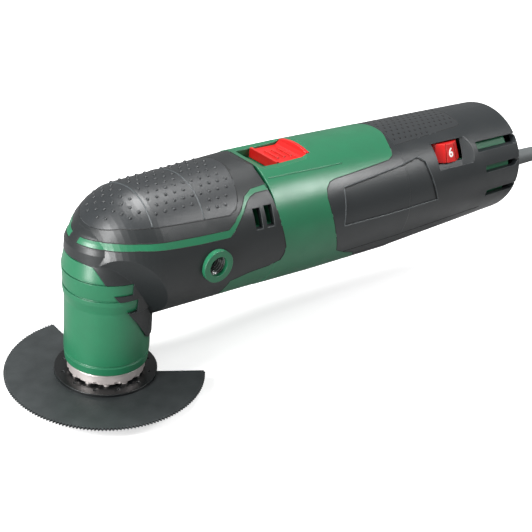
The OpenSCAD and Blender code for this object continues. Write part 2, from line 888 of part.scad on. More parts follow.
module housing_screws() {
    color("silver") translate([flange_x, 0, 0]) at_screws() difference() {
        union() {
            cylinder(h = screw_cap_h, r = screw_cap_r - fit);
            cylinder(h = flange_len + 10, r = screw_body_r - 0.02);
        }
        translate([0, 0, -1]) cylinder(h = 1.9, r = 1, $fn = 6);
    }
}

module cover_screws() {
    color("silver") at_cover_screws(cover_head_y) difference() {
        union() {
            cylinder(h = cover_head_h, r = cover_head_r - fit);
            cylinder(h = cover_screw_len, r = cover_screw_r - 0.02);
        }
        translate([0, 0, -1]) cylinder(h = 1.9, r = 1, $fn = 6);
    }
}

// ---------- spindle and blade ----------

// A ball bearing's closed outside with a groove at each face, standing on z = 0
module closed_bearing(outer, bore, width) {
    mid = (outer + bore) / 2;
    rotate_extrude() difference() {
        translate([bore, 0]) square([outer - bore, width]);
        translate([mid - 1, -1]) square([2, 1.3]);
        translate([mid - 1, width - 0.3]) square([2, 1.3]);
    }
}

module lower_bearing() {
    color("silver") translate([0, 0, low_bearing_z])
        closed_bearing(low_bearing_r, spindle_r + 0.02, low_bearing_w);
}

module upper_bearing() {
    color("silver") translate([0, 0, top_bearing_z])
        closed_bearing(top_bearing_r, spindle_top_r + 0.02, top_bearing_w);
}

module spindle() {
    color("silver") rotate_extrude() polygon([
        [screw_r, 0], [spindle_r, 0], [spindle_r, low_bearing_z + low_bearing_w],
        [spindle_mid_r, low_bearing_z + low_bearing_w + 0.5], [spindle_mid_r, top_bearing_z - 1.2],
        [spindle_top_r, top_bearing_z - 0.6], [spindle_top_r, top_bearing_z + top_bearing_w],
        [0, top_bearing_z + top_bearing_w], [0, thread_depth], [screw_r, thread_depth]]);
}

thread_depth = 13;

module fork_lever() {
    arm_end = eccentric_x + ecc_bearing_w / 2 + 2;
    arm_out = fork_inner + fork_arm;
    color("dimgray") translate([0, 0, axis_z - fork_half]) difference() {
        union() {
            cylinder(h = 2 * fork_half - 0.6, r = 10);
            translate([0, -8, 0]) cube([18, 16, 2 * fork_half - 0.6]);
            translate([14, -arm_out, 0]) cube([arm_end - 14, 2 * arm_out, 2 * fork_half - 0.6]);
        }
        translate([0, 0, -1]) cylinder(h = 20, r = spindle_mid_r);
        translate([19, -fork_inner, -1]) cube([through, 2 * fork_inner, 20]);
    }
}

module tool_holder() {
    color([0.78, 0.74, 0.72]) difference() {
        union() {
            rotate_extrude() polygon([
                [spindle_r, 0], [12.6, 0], [12.6, 1], [holder_r - 0.3, 1], [holder_r, 1.4],
                [holder_r, neck_z - 1.2], [holder_r - 0.9, neck_z - gap], [9.6, neck_z - gap],
                [9.6, low_bearing_z - 0.4], [spindle_r, low_bearing_z - 0.4]]);
            for (i = [0:pin_count - 1]) rotate([0, 0, i * 360 / pin_count])
                translate([pin_circle_r, 0, hub_z]) cylinder(h = hub_t + 2, r = pin_r);
        }
        for (i = [0:pin_count - 1]) rotate([0, 0, (i + 0.5) * 360 / pin_count])
            translate([holder_r + 0.9, 0, 0]) cylinder(h = 2.2, r = 1.6);
    }
}

blade_r = blade_d / 2;
// How far the blade's cut edges pass beside its centre
cut_offset = 3.2;
toothed_arc = 360 - blade_gap;
apex = cut_offset / sin(blade_gap / 2);
tooth_points = [for (i = [0:2 * tooth_count]) let (
    a = blade_gap / 2 + toothed_arc * i / (2 * tooth_count),
    r = i % 2 == 0 ? blade_r : blade_r - tooth_h) [r * cos(a), r * sin(a)]];

module saw_blade() {
    reach = 2 * blade_r;
    color([0.33, 0.34, 0.35]) translate([0, 0, blade_z]) rotate([0, 0, blade_turn])
        linear_extrude(height = blade_t) difference() {
            polygon(concat(tooth_points, [[-apex, 0]]));
            polygon([[-apex, 0], [-apex + reach * cos(blade_gap / 2), reach * sin(blade_gap / 2)],
                [-apex + reach * cos(blade_gap / 2), -reach * sin(blade_gap / 2)]]);
            circle(r = screw_r + 0.5);
        }
}

module blade_hub() {
    color([0.12, 0.12, 0.13]) translate([0, 0, hub_z]) difference() {
        cylinder(h = hub_t, r = hub_d / 2);
        translate([0, 0, -1]) cylinder(h = hub_t + 2, r = screw_r + 0.5);
        for (i = [0:pin_count - 1]) rotate([0, 0, i * 360 / pin_count]) {
            translate([pin_circle_r, 0, -1]) cylinder(h = hub_t + 2, r = pin_r);
            rotate([0, 0, 180 / pin_count]) translate([hub_d / 2 - 3.2, 0, hub_t - 0.4])
                cylinder(h = 1, r = 0.7);
        }
    }
}

module clamp_washer() {
    color("silver") translate([0, 0, washer_z]) rotate_extrude() polygon([
        [screw_r + 0.05, 0], [washer_r - 2, 0], [washer_r, washer_t * 0.6], [washer_r, washer_t],
        [screw_r + 0.05, washer_t]]);
}

module clamp_screw() {
    color("silver") translate([0, 0, floor_z]) difference() {
        union() {
            rotate_extrude() polygon([[0, 0], [screw_head_r - 0.6, 0], [screw_head_r, 0.6],
                [screw_head_r, screw_head_h], [0, screw_head_h]]);
            cylinder(h = screw_head_h + washer_t + blade_t + hub_t + thread_depth - 2,
                r = screw_r - 0.05);
        }
        translate([0, 0, -1]) cylinder(h = screw_head_h + 1.5, r = 2.9, $fn = 6);
    }
}

// ---------- motor ----------

module bearing_bracket() {
    plate_t = 4;
    color([0.7, 0.71, 0.72]) difference() {
        union() {
            intersection() {
                front_form(cover_t + shell_t + fit);
                slab(front_bearing_x - 2, front_bearing_x - 2 + plate_t);
            }
            x_bar(front_bearing_x - 2, front_bearing_w + 2.5, front_bearing_r + 2.4);
        }
        x_bar(front_bearing_x, front_bearing_w + 2, front_bearing_r);
        x_bar(front_bearing_x - 5, 10, front_bearing_r - 2);
        for (a = [0:60:300]) translate([front_bearing_x, 0, axis_z]) rotate([a, 0, 0])
            translate([0, 0, 18]) rotate([0, 90, 0]) cylinder(h = 12, r = 2.6, center = true);
    }
}

module front_motor_bearing() {
    color("silver") translate([front_bearing_x, 0, axis_z]) rotate([0, 90, 0])
        closed_bearing(front_bearing_r, shaft_r + 0.02, front_bearing_w);
}

module rear_motor_bearing() {
    color("silver") translate([rear_bearing_x, 0, axis_z]) rotate([0, 90, 0])
        closed_bearing(rear_bearing_r, rear_shaft_r + 0.02, rear_bearing_w);
}

// A wedge about the motor's axis, for the coil windows
module coil_wedges(x0, length, half_angle) {
    for (s = [90, -90]) translate([x0, 0, axis_z]) rotate([0, 90, 0]) rotate([0, 0, s + 90])
        linear_extrude(height = length) polygon([
            [0, 0], [40 * cos(half_angle), 40 * sin(half_angle)],
            [40 * cos(half_angle), -40 * sin(half_angle)]]);
}

coil_half = 34;
coil_in_r = stator_bore_r + 0.9;
coil_out_r = inner_r - 3.2;

module stator_core() {
    color([0.55, 0.56, 0.57]) difference() {
        x_ring(stator_x, stator_len, inner_r - fit, stator_bore_r);
        intersection() {
            x_ring(stator_x - 1, stator_len + 2, coil_out_r, coil_in_r);
            coil_wedges(stator_x - 1, stator_len + 2, coil_half);
        }
    }
}

module field_coils() {
    overhang = 4.5;
    color([0.72, 0.42, 0.2]) intersection() {
        x_ring(stator_x - overhang, stator_len + 2 * overhang, coil_out_r - fit, coil_in_r + fit);
        coil_wedges(stator_x - overhang, stator_len + 2 * overhang, coil_half - 0.5);
    }
}

module motor_shaft() {
    tip_x = eccentric_x - ecc_bearing_w / 2 - 2;
    color("silver") translate([0, 0, axis_z]) turned_x() polygon([
        [0, tip_x], [front_shaft_r, tip_x], [front_shaft_r, front_bearing_x - 4],
        [shaft_r, front_bearing_x - 4], [shaft_r, commutator_x + commutator_len],
        [rear_shaft_r, commutator_x + commutator_len], [rear_shaft_r, rear_bearing_x + rear_bearing_w],
        [0, rear_bearing_x + rear_bearing_w]]);
}

armature_r = stator_bore_r - air_gap;
armature_slot = 1.6;
slot_floor_r = armature_r - 6;

module armature_core() {
    color([0.5, 0.5, 0.52]) difference() {
        x_ring(stator_x, stator_len, armature_r, shaft_r);
        for (i = [0:slot_count - 1]) translate([stator_x - 1, 0, axis_z])
            rotate([i * 360 / slot_count, 0, 0])
            translate([0, -armature_slot / 2, slot_floor_r]) cube([stator_len + 2, armature_slot, 20]);
    }
}

module armature_winding() {
    bell = 6;
    bell_r = armature_r - 2.4;
    color([0.75, 0.4, 0.18]) union() {
        for (x = [stator_x - bell, stator_x + stator_len])
            translate([x, 0, axis_z]) turned_x() polygon([[shaft_r, 0], [bell_r - 2, 0],
                [bell_r, 1.5], [bell_r, bell - 1.5], [bell_r - 0.4, bell], [shaft_r, bell]]);
        for (i = [0:slot_count - 1]) translate([stator_x - 0.5, 0, axis_z])
            rotate([i * 360 / slot_count, 0, 0])
            translate([0, -armature_slot / 2 + fit, slot_floor_r + fit])
            cube([stator_len + 1, armature_slot - 2 * fit, bell_r - slot_floor_r - 0.5]);
    }
}

module commutator() {
    bars = 24;
    color([0.8, 0.5, 0.25]) difference() {
        x_ring(commutator_x, commutator_len, commutator_r, shaft_r);
        for (i = [0:bars - 1]) translate([commutator_x - 1, 0, axis_z])
            rotate([i * 360 / bars, 0, 0])
            translate([0, -0.2, commutator_r - 0.8]) cube([commutator_len + 2, 0.4, 3]);
    }
}

module fan() {
    fan_w = 7;
    color([0.3, 0.3, 0.32]) difference() {
        union() {
            x_bar(fan_x, 1.6, fan_r);
            x_bar(fan_x, fan_w, shaft_r + 2.5);
            for (i = [0:fan_blades - 1]) translate([fan_x + 1, 0, axis_z])
                rotate([i * 360 / fan_blades, 0, 0])
                translate([0, -0.7, shaft_r + 1]) cube([fan_w - 1.6, 1.4, fan_r - shaft_r - 1.7]);
        }
        x_bar(fan_x - 1, fan_w + 2, shaft_r);
    }
}

module eccentric() {
    sleeve_x = eccentric_x - ecc_bearing_w / 2 - 0.4;
    weight_x = eccentric_x + ecc_bearing_w / 2 + 3.5;
    color("gray") difference() {
        union() {
            translate([0, 0, eccentricity]) x_bar(sleeve_x, weight_x - sleeve_x + 1, ecc_bore_r);
            intersection() {
                x_bar(weight_x, 3.6, 9.6);
                translate([0, -through / 2, axis_z - through]) cube([through, through, through]);
            }
            x_bar(weight_x, 3.6, 5.4);
        }
        x_bar(sleeve_x - 1, 30, front_shaft_r);
    }
}

module eccentric_bearing() {
    color("silver") translate([eccentric_x - ecc_bearing_w / 2, 0, axis_z + eccentricity])
        rotate([0, 90, 0]) closed_bearing(ecc_bearing_r, ecc_bore_r, ecc_bearing_w);
}

brush_w = 5;
brush_h = 6;
brush_x = commutator_x + commutator_len / 2;
holder_in = commutator_r + 1.2;
holder_out = inner_r - 0.4;

module brush_bracket() {
    ring_x = commutator_x + commutator_len + 1;
    ring_w = rear_bearing_x + rear_bearing_w - ring_x;
    color([0.35, 0.35, 0.36]) difference() {
        union() {
            x_ring(ring_x, ring_w, rear_bearing_r + 2.5, rear_bearing_r);
            x_ring(ring_x, ring_w, inner_r - fit, inner_r - 2.4);
            for (side = [-1, 1]) {
                translate([ring_x, side > 0 ? rear_bearing_r + 1 : -inner_r + 1.2, axis_z - 5])
                    cube([ring_w, inner_r - rear_bearing_r - 2.2, 10]);
                translate([brush_x - 4.6, side > 0 ? holder_in + 3 : -holder_out + 1.4, axis_z - 7.4])
                    cube([ring_x - brush_x + 5.6, holder_out - holder_in - 4.4, 2.6]);
                translate([brush_x - 4.6, side > 0 ? holder_in + 3 : -holder_out + 1.4, axis_z + 4.8])
                    cube([ring_x - brush_x + 5.6, holder_out - holder_in - 4.4, 2.6]);
            }
        }
        x_bar(ring_x - 1, ring_w + 2, rear_bearing_r);
    }
}

// A shape on each side of the commutator, with its Z along the brush's way out
module at_brushes() {
    for (side = [-1, 1]) translate([brush_x, side * holder_in, axis_z])
        rotate([-side * 90, 0, 0]) children();
}

module brush_holders() {
    wall = 1;
    color("goldenrod") at_brushes() difference() {
        translate([-brush_w / 2 - wall, -brush_h / 2 - wall - 0.7, 0])
            cube([brush_w + 2 * wall, brush_h + 2 * wall + 1.4, holder_out - holder_in]);
        translate([-brush_w / 2, -brush_h / 2, -1]) cube([brush_w, brush_h, holder_out - holder_in - 0.4]);
    }
}

brush_len = 8;

module carbon_brushes() {
    color([0.15, 0.15, 0.15]) at_brushes()
        translate([-brush_w / 2 + fit, -brush_h / 2 + fit, -1.1])
        cube([brush_w - 2 * fit, brush_h - 2 * fit, brush_len]);
}

module brush_springs() {
    spring_len = holder_out - holder_in - 1.4 - (brush_len - 1.1);
    color("silver") at_brushes() translate([0, 0, brush_len - 1.1]) difference() {
        cylinder(h = spring_len, r = 2.1);
        translate([0, 0, -1]) cylinder(h = spring_len + 2, r = 1.5);
    }
}

// ---------- switch, dial and electrics ----------

button_x = recess_x + switch_travel + gap;
button_end = recess_x + recess_len - gap;
button_len = button_end - button_x;
button_floor = recess_floor + gap;
rod_reach = 6;

// Heights of the button's floor and of its front lip over the motor's axis
thumb_floor = deck_z - 0.4;
lip_top = deck_z + 0.6;

module slide_button() {
    ribs = 3;
    arch_x = button_end - 4.6;
    color("red") union() {
        difference() {
            intersection() {
                union() {
                    translate([button_x, -button_half, axis_z + button_floor])
                        cube([button_len, 2 * button_half, 6]);
                    translate([button_x, -button_half, axis_z + pocket_floor + gap])
                        cube([lip_t, 2 * button_half, 6]);
                }
                x_bar(button_x - 2, button_len + 4, collar_front_r + 0.7);
            }
            side_prism(moved([[button_x - 1, lip_top], [button_x + 1.2, lip_top],
                [button_x + 2, thumb_floor], [arch_x, thumb_floor], [arch_x + 1.4, thumb_floor + 0.5],
                [arch_x + 2.6, thumb_floor + 1.8], [arch_x + 3.3, thumb_floor + 4.4],
                [arch_x + 3.4, 60], [button_x - 1, 60]], 0, axis_z));
            translate([button_x + rod_reach, -rod_half, axis_z + rod_z])
                cube([button_len, 2 * rod_half, rod_t]);
        }
        for (i = [0:ribs - 1])
            translate([button_x + 4.4 + 3.7 * i, -4.6, axis_z + thumb_floor - 0.3])
                cube([1.1, 9.2, 0.9]);
    }
}

module slide_rod() {
    switch_tab = 3;
    color([0.25, 0.25, 0.26]) union() {
        translate([button_x + rod_reach, -rod_half, axis_z + rod_z])
            cube([switch_x + 6 - button_x - rod_reach, 2 * rod_half, rod_t]);
        translate([switch_x + 6 - switch_tab, -rod_half + 1, axis_z + switch_top - 1.5])
            cube([switch_tab, 2 * rod_half - 2, rod_z - switch_top + 2]);
    }
}

switch_x = rear_x + 3;
switch_top = 21.4;
switch_half = sqrt(pow(inner_r - gap, 2) - pow(switch_top, 2));

module switch_unit() {
    color([0.12, 0.12, 0.13]) difference() {
        translate([switch_x, -switch_half, axis_z + 6]) cube([14, 2 * switch_half, switch_top - 6]);
        translate([switch_x - 1, -rod_half + 0.6, axis_z + switch_top - 2])
            cube([9, 2 * rod_half - 1.2, 5]);
    }
}

module speed_dial() {
    color("red") dial_frame() translate([0, dial_lift, dial_axis_r]) rotate([90, 0, 0]) difference() {
        cylinder(h = dial_w, r1 = dial_r - dial_spread + 0.3, r2 = dial_r + dial_spread + 0.3,
            center = true);
        for (i = [0:dial_flats - 1]) {
            rotate([0, 0, i * 360 / dial_flats]) translate([0, dial_r, 0])
                rotate([-dial_taper, 0, 0]) translate([-8, 0, -dial_w]) cube([16, 5, 2 * dial_w]);
            rotate([0, 0, (i + 0.5) * 360 / dial_flats]) translate([0, dial_r + 0.35, 0])
                rotate([-dial_taper, 0, 0]) translate([-0.35, -0.6, -dial_w])
                    cube([0.7, 5, 2 * dial_w]);
        }
        cylinder(h = dial_w + 2, r = dial_shaft_r + 0.05, center = true);
    }
}

dial_shaft_r = 2.5;
pot_y = dial_lift - dial_w / 2 - 0.8;
pot_t = 6.6;
board_y = pot_y - pot_t;

module potentiometer() {
    color([0.16, 0.3, 0.5]) dial_frame() union() {
        translate([-8, board_y, dial_axis_r - 9]) cube([16, pot_t, 11]);
        translate([0, pot_y + dial_w + 0.8, dial_axis_r]) rotate([90, 0, 0])
            cylinder(h = dial_w + 1.8, r = dial_shaft_r);
    }
}

board_t = 1.6;
board_len = 44;
board_half = 16;

// The circuit board, grown by room on every side
module board_solid(room = 0) {
    dial_frame() translate([-16 - room, board_y - board_t - room, -board_half - room])
        cube([board_len + 2 * room, board_t + 2 * room, 2 * (board_half + room)]);
}

// Two pairs of slotted rails that hold the board's long edges
module board_rails() {
    for (x = [-14, 20]) for (z = [-through / 2, board_half - 2])
        translate([x, board_y - board_t - 1.6, z])
            cube([5, board_t + 3.2, through / 2 - board_half + 2]);
}

module circuit_board() {
    color([0.1, 0.35, 0.2]) board_solid();
}

module capacitor() {
    color([0.85, 0.75, 0.2]) dial_frame() translate([13, board_y, -13.5]) cube([14, 9, 17.5]);
}

clamp_x = rear_x + 66;
cord_seat_r = cord_r + 0.02;

module cord_clamp() {
    color([0.3, 0.3, 0.31]) difference() {
        union() {
            translate([clamp_x, -12, cord_z - 6.5]) cube([9, 24, 13]);
            intersection() {
                translate([clamp_x, -12, axis_z - 40]) cube([9, 24, cord_z - axis_z + 40]);
                rear_form(cover_t + shell_t + fit);
            }
        }
        translate([clamp_x - 1, 0, cord_z]) rotate([0, 90, 0]) cylinder(h = 11, r = cord_seat_r);
    }
}

sleeve_x = rear_x + tail_len + 6.5;
sleeve_end = sleeve_x + sleeve_len;

module cord_sleeve() {
    color([0.42, 0.42, 0.43]) difference() {
        union() {
            translate([sleeve_x, 0, cord_z]) rotate([0, 90, 0])
                cylinder(h = sleeve_len, r1 = sleeve_r, r2 = sleeve_end_r);
            translate([sleeve_x - 3.6, 0, cord_z]) rotate([0, 90, 0]) cylinder(h = 3, r = sleeve_r + 1.4);
        }
        translate([sleeve_x - 4, 0, cord_z]) rotate([0, 90, 0])
            cylinder(h = sleeve_len + 5, r = cord_seat_r);
    }
}

module cord_inlet() {
    color([0.2, 0.2, 0.2]) translate([clamp_x - 6, 0, cord_z]) rotate([0, 90, 0])
        cylinder(h = sleeve_end - clamp_x + 6, r = cord_r);
}

// ---------- cord, coil and plug ----------

lay_z = floor_z + cord_r;
coil_in_r0 = coil_mid_r - coil_columns * cord_r;
coil_top = floor_z + coil_layers * cord_d;
top_z = coil_top + cord_r;
turn_in_r = coil_mid_r - (coil_columns - 1) * cord_r;
turn_out_r = coil_mid_r + (coil_columns - 1) * cord_r;

// The lead's way from the sleeve on to the coil, in hand-chosen steps
tube_route = [[sleeve_end, 0, cord_z], [301, 0, cord_z - 0.1], [316, 0.2, 48.8], [326, 1, 45.6],
    [335, 3, 39.6], [343, 6, 32.2], [351, 9.8, 25.4], [360, 14, 20.4], [370, 17.4, 18.1],
    [380, 19.8, top_z], [388, 20.6, top_z]];

plug_x = 340;
plug_y = -53.6;
plug_z = floor_z + plug_t / 2;

// The lead's way from the coil's lowest outer turn to the plug
tail_route = [[388, coil_y - turn_out_r, lay_z], [378, -58.2, lay_z], [368, -57.2, lay_z],
    [358, -55.8, lay_z + 0.6], [349, -54.6, lay_z + 2], [plug_x + 0.8, plug_y, lay_z + 3.2]];

tube_sides = 12;

function unit(v) = v / norm(v);
function along(route, i) = unit(route[min(i + 1, len(route) - 1)] - route[max(i - 1, 0)]);
function ring_at(route, i, r) = let (
    t = along(route, i), side = unit(cross([0, 0, 1], t)), up = cross(t, side))
    [for (k = [0:tube_sides - 1]) let (a = 360 * k / tube_sides)
        route[i] + r * (cos(a) * side + sin(a) * up)];

// A round tube along a route of points
module cord_along(route, r) {
    n = len(route);
    points = [for (i = [0:n - 1]) each ring_at(route, i, r)];
    caps = [[for (k = [0:tube_sides - 1]) k],
        [for (k = [tube_sides - 1:-1:0]) (n - 1) * tube_sides + k]];
    sides = [for (i = [0:n - 2]) for (k = [0:tube_sides - 1]) let (j = (k + 1) % tube_sides)
        [i * tube_sides + k, (i + 1) * tube_sides + k, (i + 1) * tube_sides + j, i * tube_sides + j]];
    polyhedron(points, concat(caps, sides));
}

module cord_tube() {
    color([0.2, 0.2, 0.2]) cord_along(tube_route, cord_r);
}

module cord_coil() {
    color([0.2, 0.2, 0.2]) translate([coil_x, coil_y, floor_z]) rotate_extrude()
        translate([coil_in_r0, 0]) square([coil_columns * cord_d, coil_layers * cord_d]);
}

module cord_tail() {
    color([0.2, 0.2, 0.2]) cord_along(tail_route, cord_r);
}

module plug_body() {
    neck_len = 14;
    color([0.18, 0.18, 0.18]) translate([plug_x, plug_y, plug_z]) rotate([0, -90, 0]) union() {
        cylinder(h = neck_len, r1 = cord_r + 0.6, r2 = 5.6);
        translate([-plug_t / 2, -plug_w / 2 + plug_t / 2, neck_len - 1])
            cube([plug_t, plug_w - plug_t, plug_len + 1]);
        for (side = [-1, 1]) translate([0, side * (plug_w - plug_t) / 2, neck_len - 1])
            cylinder(h = plug_len + 1, r = plug_t / 2);
    }
}

module plug_pins() {
    color("silver") for (side = [-1, 1])
        translate([plug_x - 14 - plug_len, plug_y + side * plug_pitch / 2, plug_z])
        rotate([0, -90, 0]) union() {
            cylinder(h = plug_pin_len - 1, r = plug_pin_r);
            translate([0, 0, plug_pin_len - 1]) cylinder(h = 1, r1 = plug_pin_r, r2 = plug_pin_r - 0.8);
        }
}

gear_housing();
front_grip();
front_pad();
left_stripe();
right_stripe();
left_handle_ring();
right_handle_ring();
left_thread_insert();
right_thread_insert();
motor_housing();
left_rear_cover();
right_rear_cover();
rear_pad();
left_label_plate();
right_label_plate();
housing_screws();
cover_screws();
bearing_bracket();
lower_bearing();
upper_bearing();
stator_core();
field_coils();
front_motor_bearing();
rear_motor_bearing();
brush_bracket();
brush_holders();
carbon_brushes();
brush_springs();
switch_unit();
circuit_board();
potentiometer();
capacitor();
cord_clamp();
cord_sleeve();
cord_inlet();
cord_tube();
cord_coil();
cord_tail();
plug_body();
plug_pins();
spindle();
fork_lever();
tool_holder();
saw_blade();
blade_hub();
clamp_washer();
clamp_screw();
motor_shaft();
armature_core();
armature_winding();
commutator();
fan();
eccentric();
eccentric_bearing();
slide_button();
slide_rod();
speed_dial();
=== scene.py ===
"""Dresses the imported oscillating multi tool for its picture.

Lengths are in metres, in the frame of the part's source: the body runs along +X,
the spindle along +Z, and the origin lies in the tool holder's seat face.
"""
import json
import logging
import math
from dataclasses import dataclass, field
from enum import Enum
from typing import Iterable, Optional, Sequence

import bpy
from mathutils import Matrix, Vector
from mathutils.bvhtree import BVHTree

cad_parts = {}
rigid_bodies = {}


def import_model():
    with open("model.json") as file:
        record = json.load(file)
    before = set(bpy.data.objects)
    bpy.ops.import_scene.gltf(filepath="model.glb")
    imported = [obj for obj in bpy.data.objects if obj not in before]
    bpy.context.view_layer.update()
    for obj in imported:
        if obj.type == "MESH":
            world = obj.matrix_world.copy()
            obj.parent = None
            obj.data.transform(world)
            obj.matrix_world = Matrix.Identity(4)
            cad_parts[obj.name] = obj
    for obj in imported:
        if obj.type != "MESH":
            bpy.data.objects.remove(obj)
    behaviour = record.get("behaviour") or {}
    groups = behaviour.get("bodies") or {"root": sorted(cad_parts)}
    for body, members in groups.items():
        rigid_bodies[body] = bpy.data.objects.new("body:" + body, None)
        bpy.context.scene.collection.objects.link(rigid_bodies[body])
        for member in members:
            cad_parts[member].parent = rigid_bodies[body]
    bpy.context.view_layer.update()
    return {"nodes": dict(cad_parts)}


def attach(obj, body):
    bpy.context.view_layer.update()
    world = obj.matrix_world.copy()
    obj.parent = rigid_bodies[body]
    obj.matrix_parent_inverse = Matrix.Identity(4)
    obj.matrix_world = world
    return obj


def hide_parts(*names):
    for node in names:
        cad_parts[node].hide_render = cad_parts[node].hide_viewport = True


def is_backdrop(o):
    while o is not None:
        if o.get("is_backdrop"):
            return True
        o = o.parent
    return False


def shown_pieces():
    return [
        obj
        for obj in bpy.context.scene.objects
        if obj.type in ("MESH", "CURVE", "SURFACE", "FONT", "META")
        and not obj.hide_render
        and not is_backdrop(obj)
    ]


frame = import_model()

log = logging.getLogger("multi_tool")
MM = 0.001
FRAME_PX = 532.0
# How far out a line starts that looks for the surface, in millimetres
SIDE_REACH, TOP_REACH, FRONT_REACH = 120, 200, -60
# How the line of sight is searched for the nearest place when it meets nothing
SIGHT_STEP, SIGHT_STEPS = 0.002, 400
# Share of a dome's radius, and share of its height, of each of its rings
DOME_RINGS = ((1.0, -0.3), (0.86, 0.42), (0.5, 0.87))
NOT_SHOWN = [999.0, 999.0]

Point2 = tuple[float, float]
Colour = tuple[float, float, float]


class Side(Enum):
    """The two sides of the body."""

    LEFT = -1
    RIGHT = 1


class Body(Enum):
    """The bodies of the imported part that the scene's own pieces ride on."""

    HOUSING = "housing"
    DIAL = "dial_body"


def linear(red: int, green: int, blue: int) -> Colour:
    """Turns a screen colour of 0 to 255 into a linear one."""
    return tuple(((c / 255 + 0.055) / 1.055) ** 2.4 if c > 10 else c / 255 / 12.92
                 for c in (red, green, blue))


def mm(*values: float) -> Vector:
    """A point given in millimetres, as in the part's source."""
    return Vector(values) * MM


def ease(share: float) -> float:
    """A share from 0 to 1 that starts and ends gently."""
    return share * share * (3 - 2 * share)


def link(name: str, data: bpy.types.ID) -> bpy.types.Object:
    """Makes an object of the data and puts it into the scene.

    Args:
        name: The object's plain name.
        data: Its mesh, curve, lamp or camera.

    Returns:
        The new object.
    """
    item = bpy.data.objects.new(name, data)
    bpy.context.scene.collection.objects.link(item)
    return item


# ---------------------------------------------------------------- camera


@dataclass(frozen=True)
class ImagePoints:
    """Places in the photograph's frame, in its pixels."""

    left_x: float = 2.0
    right_x: float = 519.0
    top_y: float = 102.0
    bottom_y: float = 429.0
    handle_hole: Point2 = (217.5, 266.0)
    hub_bottom: Point2 = (105.0, 397.5)
    blade_tip: Point2 = (204.0, 378.0)
    slot_corner: Point2 = (475.0, 142.5)
    numeral: Point2 = (450.4, 152.5)
    front_arc: Point2 = (135.0, 193.0)
    rear_arc: Point2 = (185.0, 180.0)
    collar_ridge: Point2 = (300.0, 171.5)
    upper_parting: Point2 = (390.0, 236.5)
    lower_parting: Point2 = (380.0, 245.0)


@dataclass(frozen=True)
class PhotoCamera:
    """The camera that took the photograph."""

    lens: float = 65.0
    sensor_width: float = 36.0
    azimuth: float = 42.40
    elevation: float = 27.89
    roll: float = 6.73
    place: tuple[float, float, float] = (-0.18238, -0.29305, 0.23618)

    def axes(self) -> tuple[Vector, Vector, Vector]:
        """The camera's axes.

        Returns:
            Its right, up and back directions.
        """
        az, el, roll = (math.radians(v) for v in (self.azimuth, self.elevation, self.roll))
        back = Vector((-math.sin(az) * math.cos(el), -math.cos(az) * math.cos(el), math.sin(el)))
        right0 = Vector((math.cos(az), -math.sin(az), 0.0))
        up0 = back.cross(right0)
        right = right0 * math.cos(roll) + up0 * math.sin(roll)
        return right, back.cross(right), back

    def make(self) -> bpy.types.Object:
        """Makes the scene's camera.

        Returns:
            The camera.
        """
        data = bpy.data.cameras.new("photo_camera")
        data.lens = self.lens
        data.sensor_fit = "AUTO"
        data.sensor_width = self.sensor_width
        data.clip_start = 0.01
        data.clip_end = 50.0
        camera = link("photo_camera", data)
        right, up, back = self.axes()
        turn = Matrix((right, up, back)).transposed().to_4x4()
        camera.matrix_world = Matrix.Translation(Vector(self.place)) @ turn
        bpy.context.scene.camera = camera
        return camera

    def ray(self, point: Point2) -> tuple[Vector, Vector]:
        """The line of sight through an image point.

        Args:
            point: x and y in the photograph's frame.

        Returns:
            Where the line starts, and its direction.
        """
        right, up, back = self.axes()
        toward = (right * (point[0] - FRAME_PX / 2) + up * (FRAME_PX / 2 - point[1])
                  - back * (FRAME_PX * self.lens / self.sensor_width))
        return Vector(self.place), toward.normalized()

    def image(self, place: Vector) -> Point2:
        """Where a point of the scene falls in the photograph's frame.

        Args:
            place: The point, in metres.

        Returns:
            x and y in the photograph's frame.
        """
        right, up, back = self.axes()
        away = place - Vector(self.place)
        scale = FRAME_PX * self.lens / self.sensor_width / -away.dot(back)
        return (FRAME_PX / 2 + away.dot(right) * scale, FRAME_PX / 2 - away.dot(up) * scale)


CAMERA = PhotoCamera()
POINTS = ImagePoints()


# ---------------------------------------------------------------- surfaces


@dataclass(frozen=True)
class Spot:
    """A place on a surface, with the direction out of it."""

    place: Vector
    out: Vector


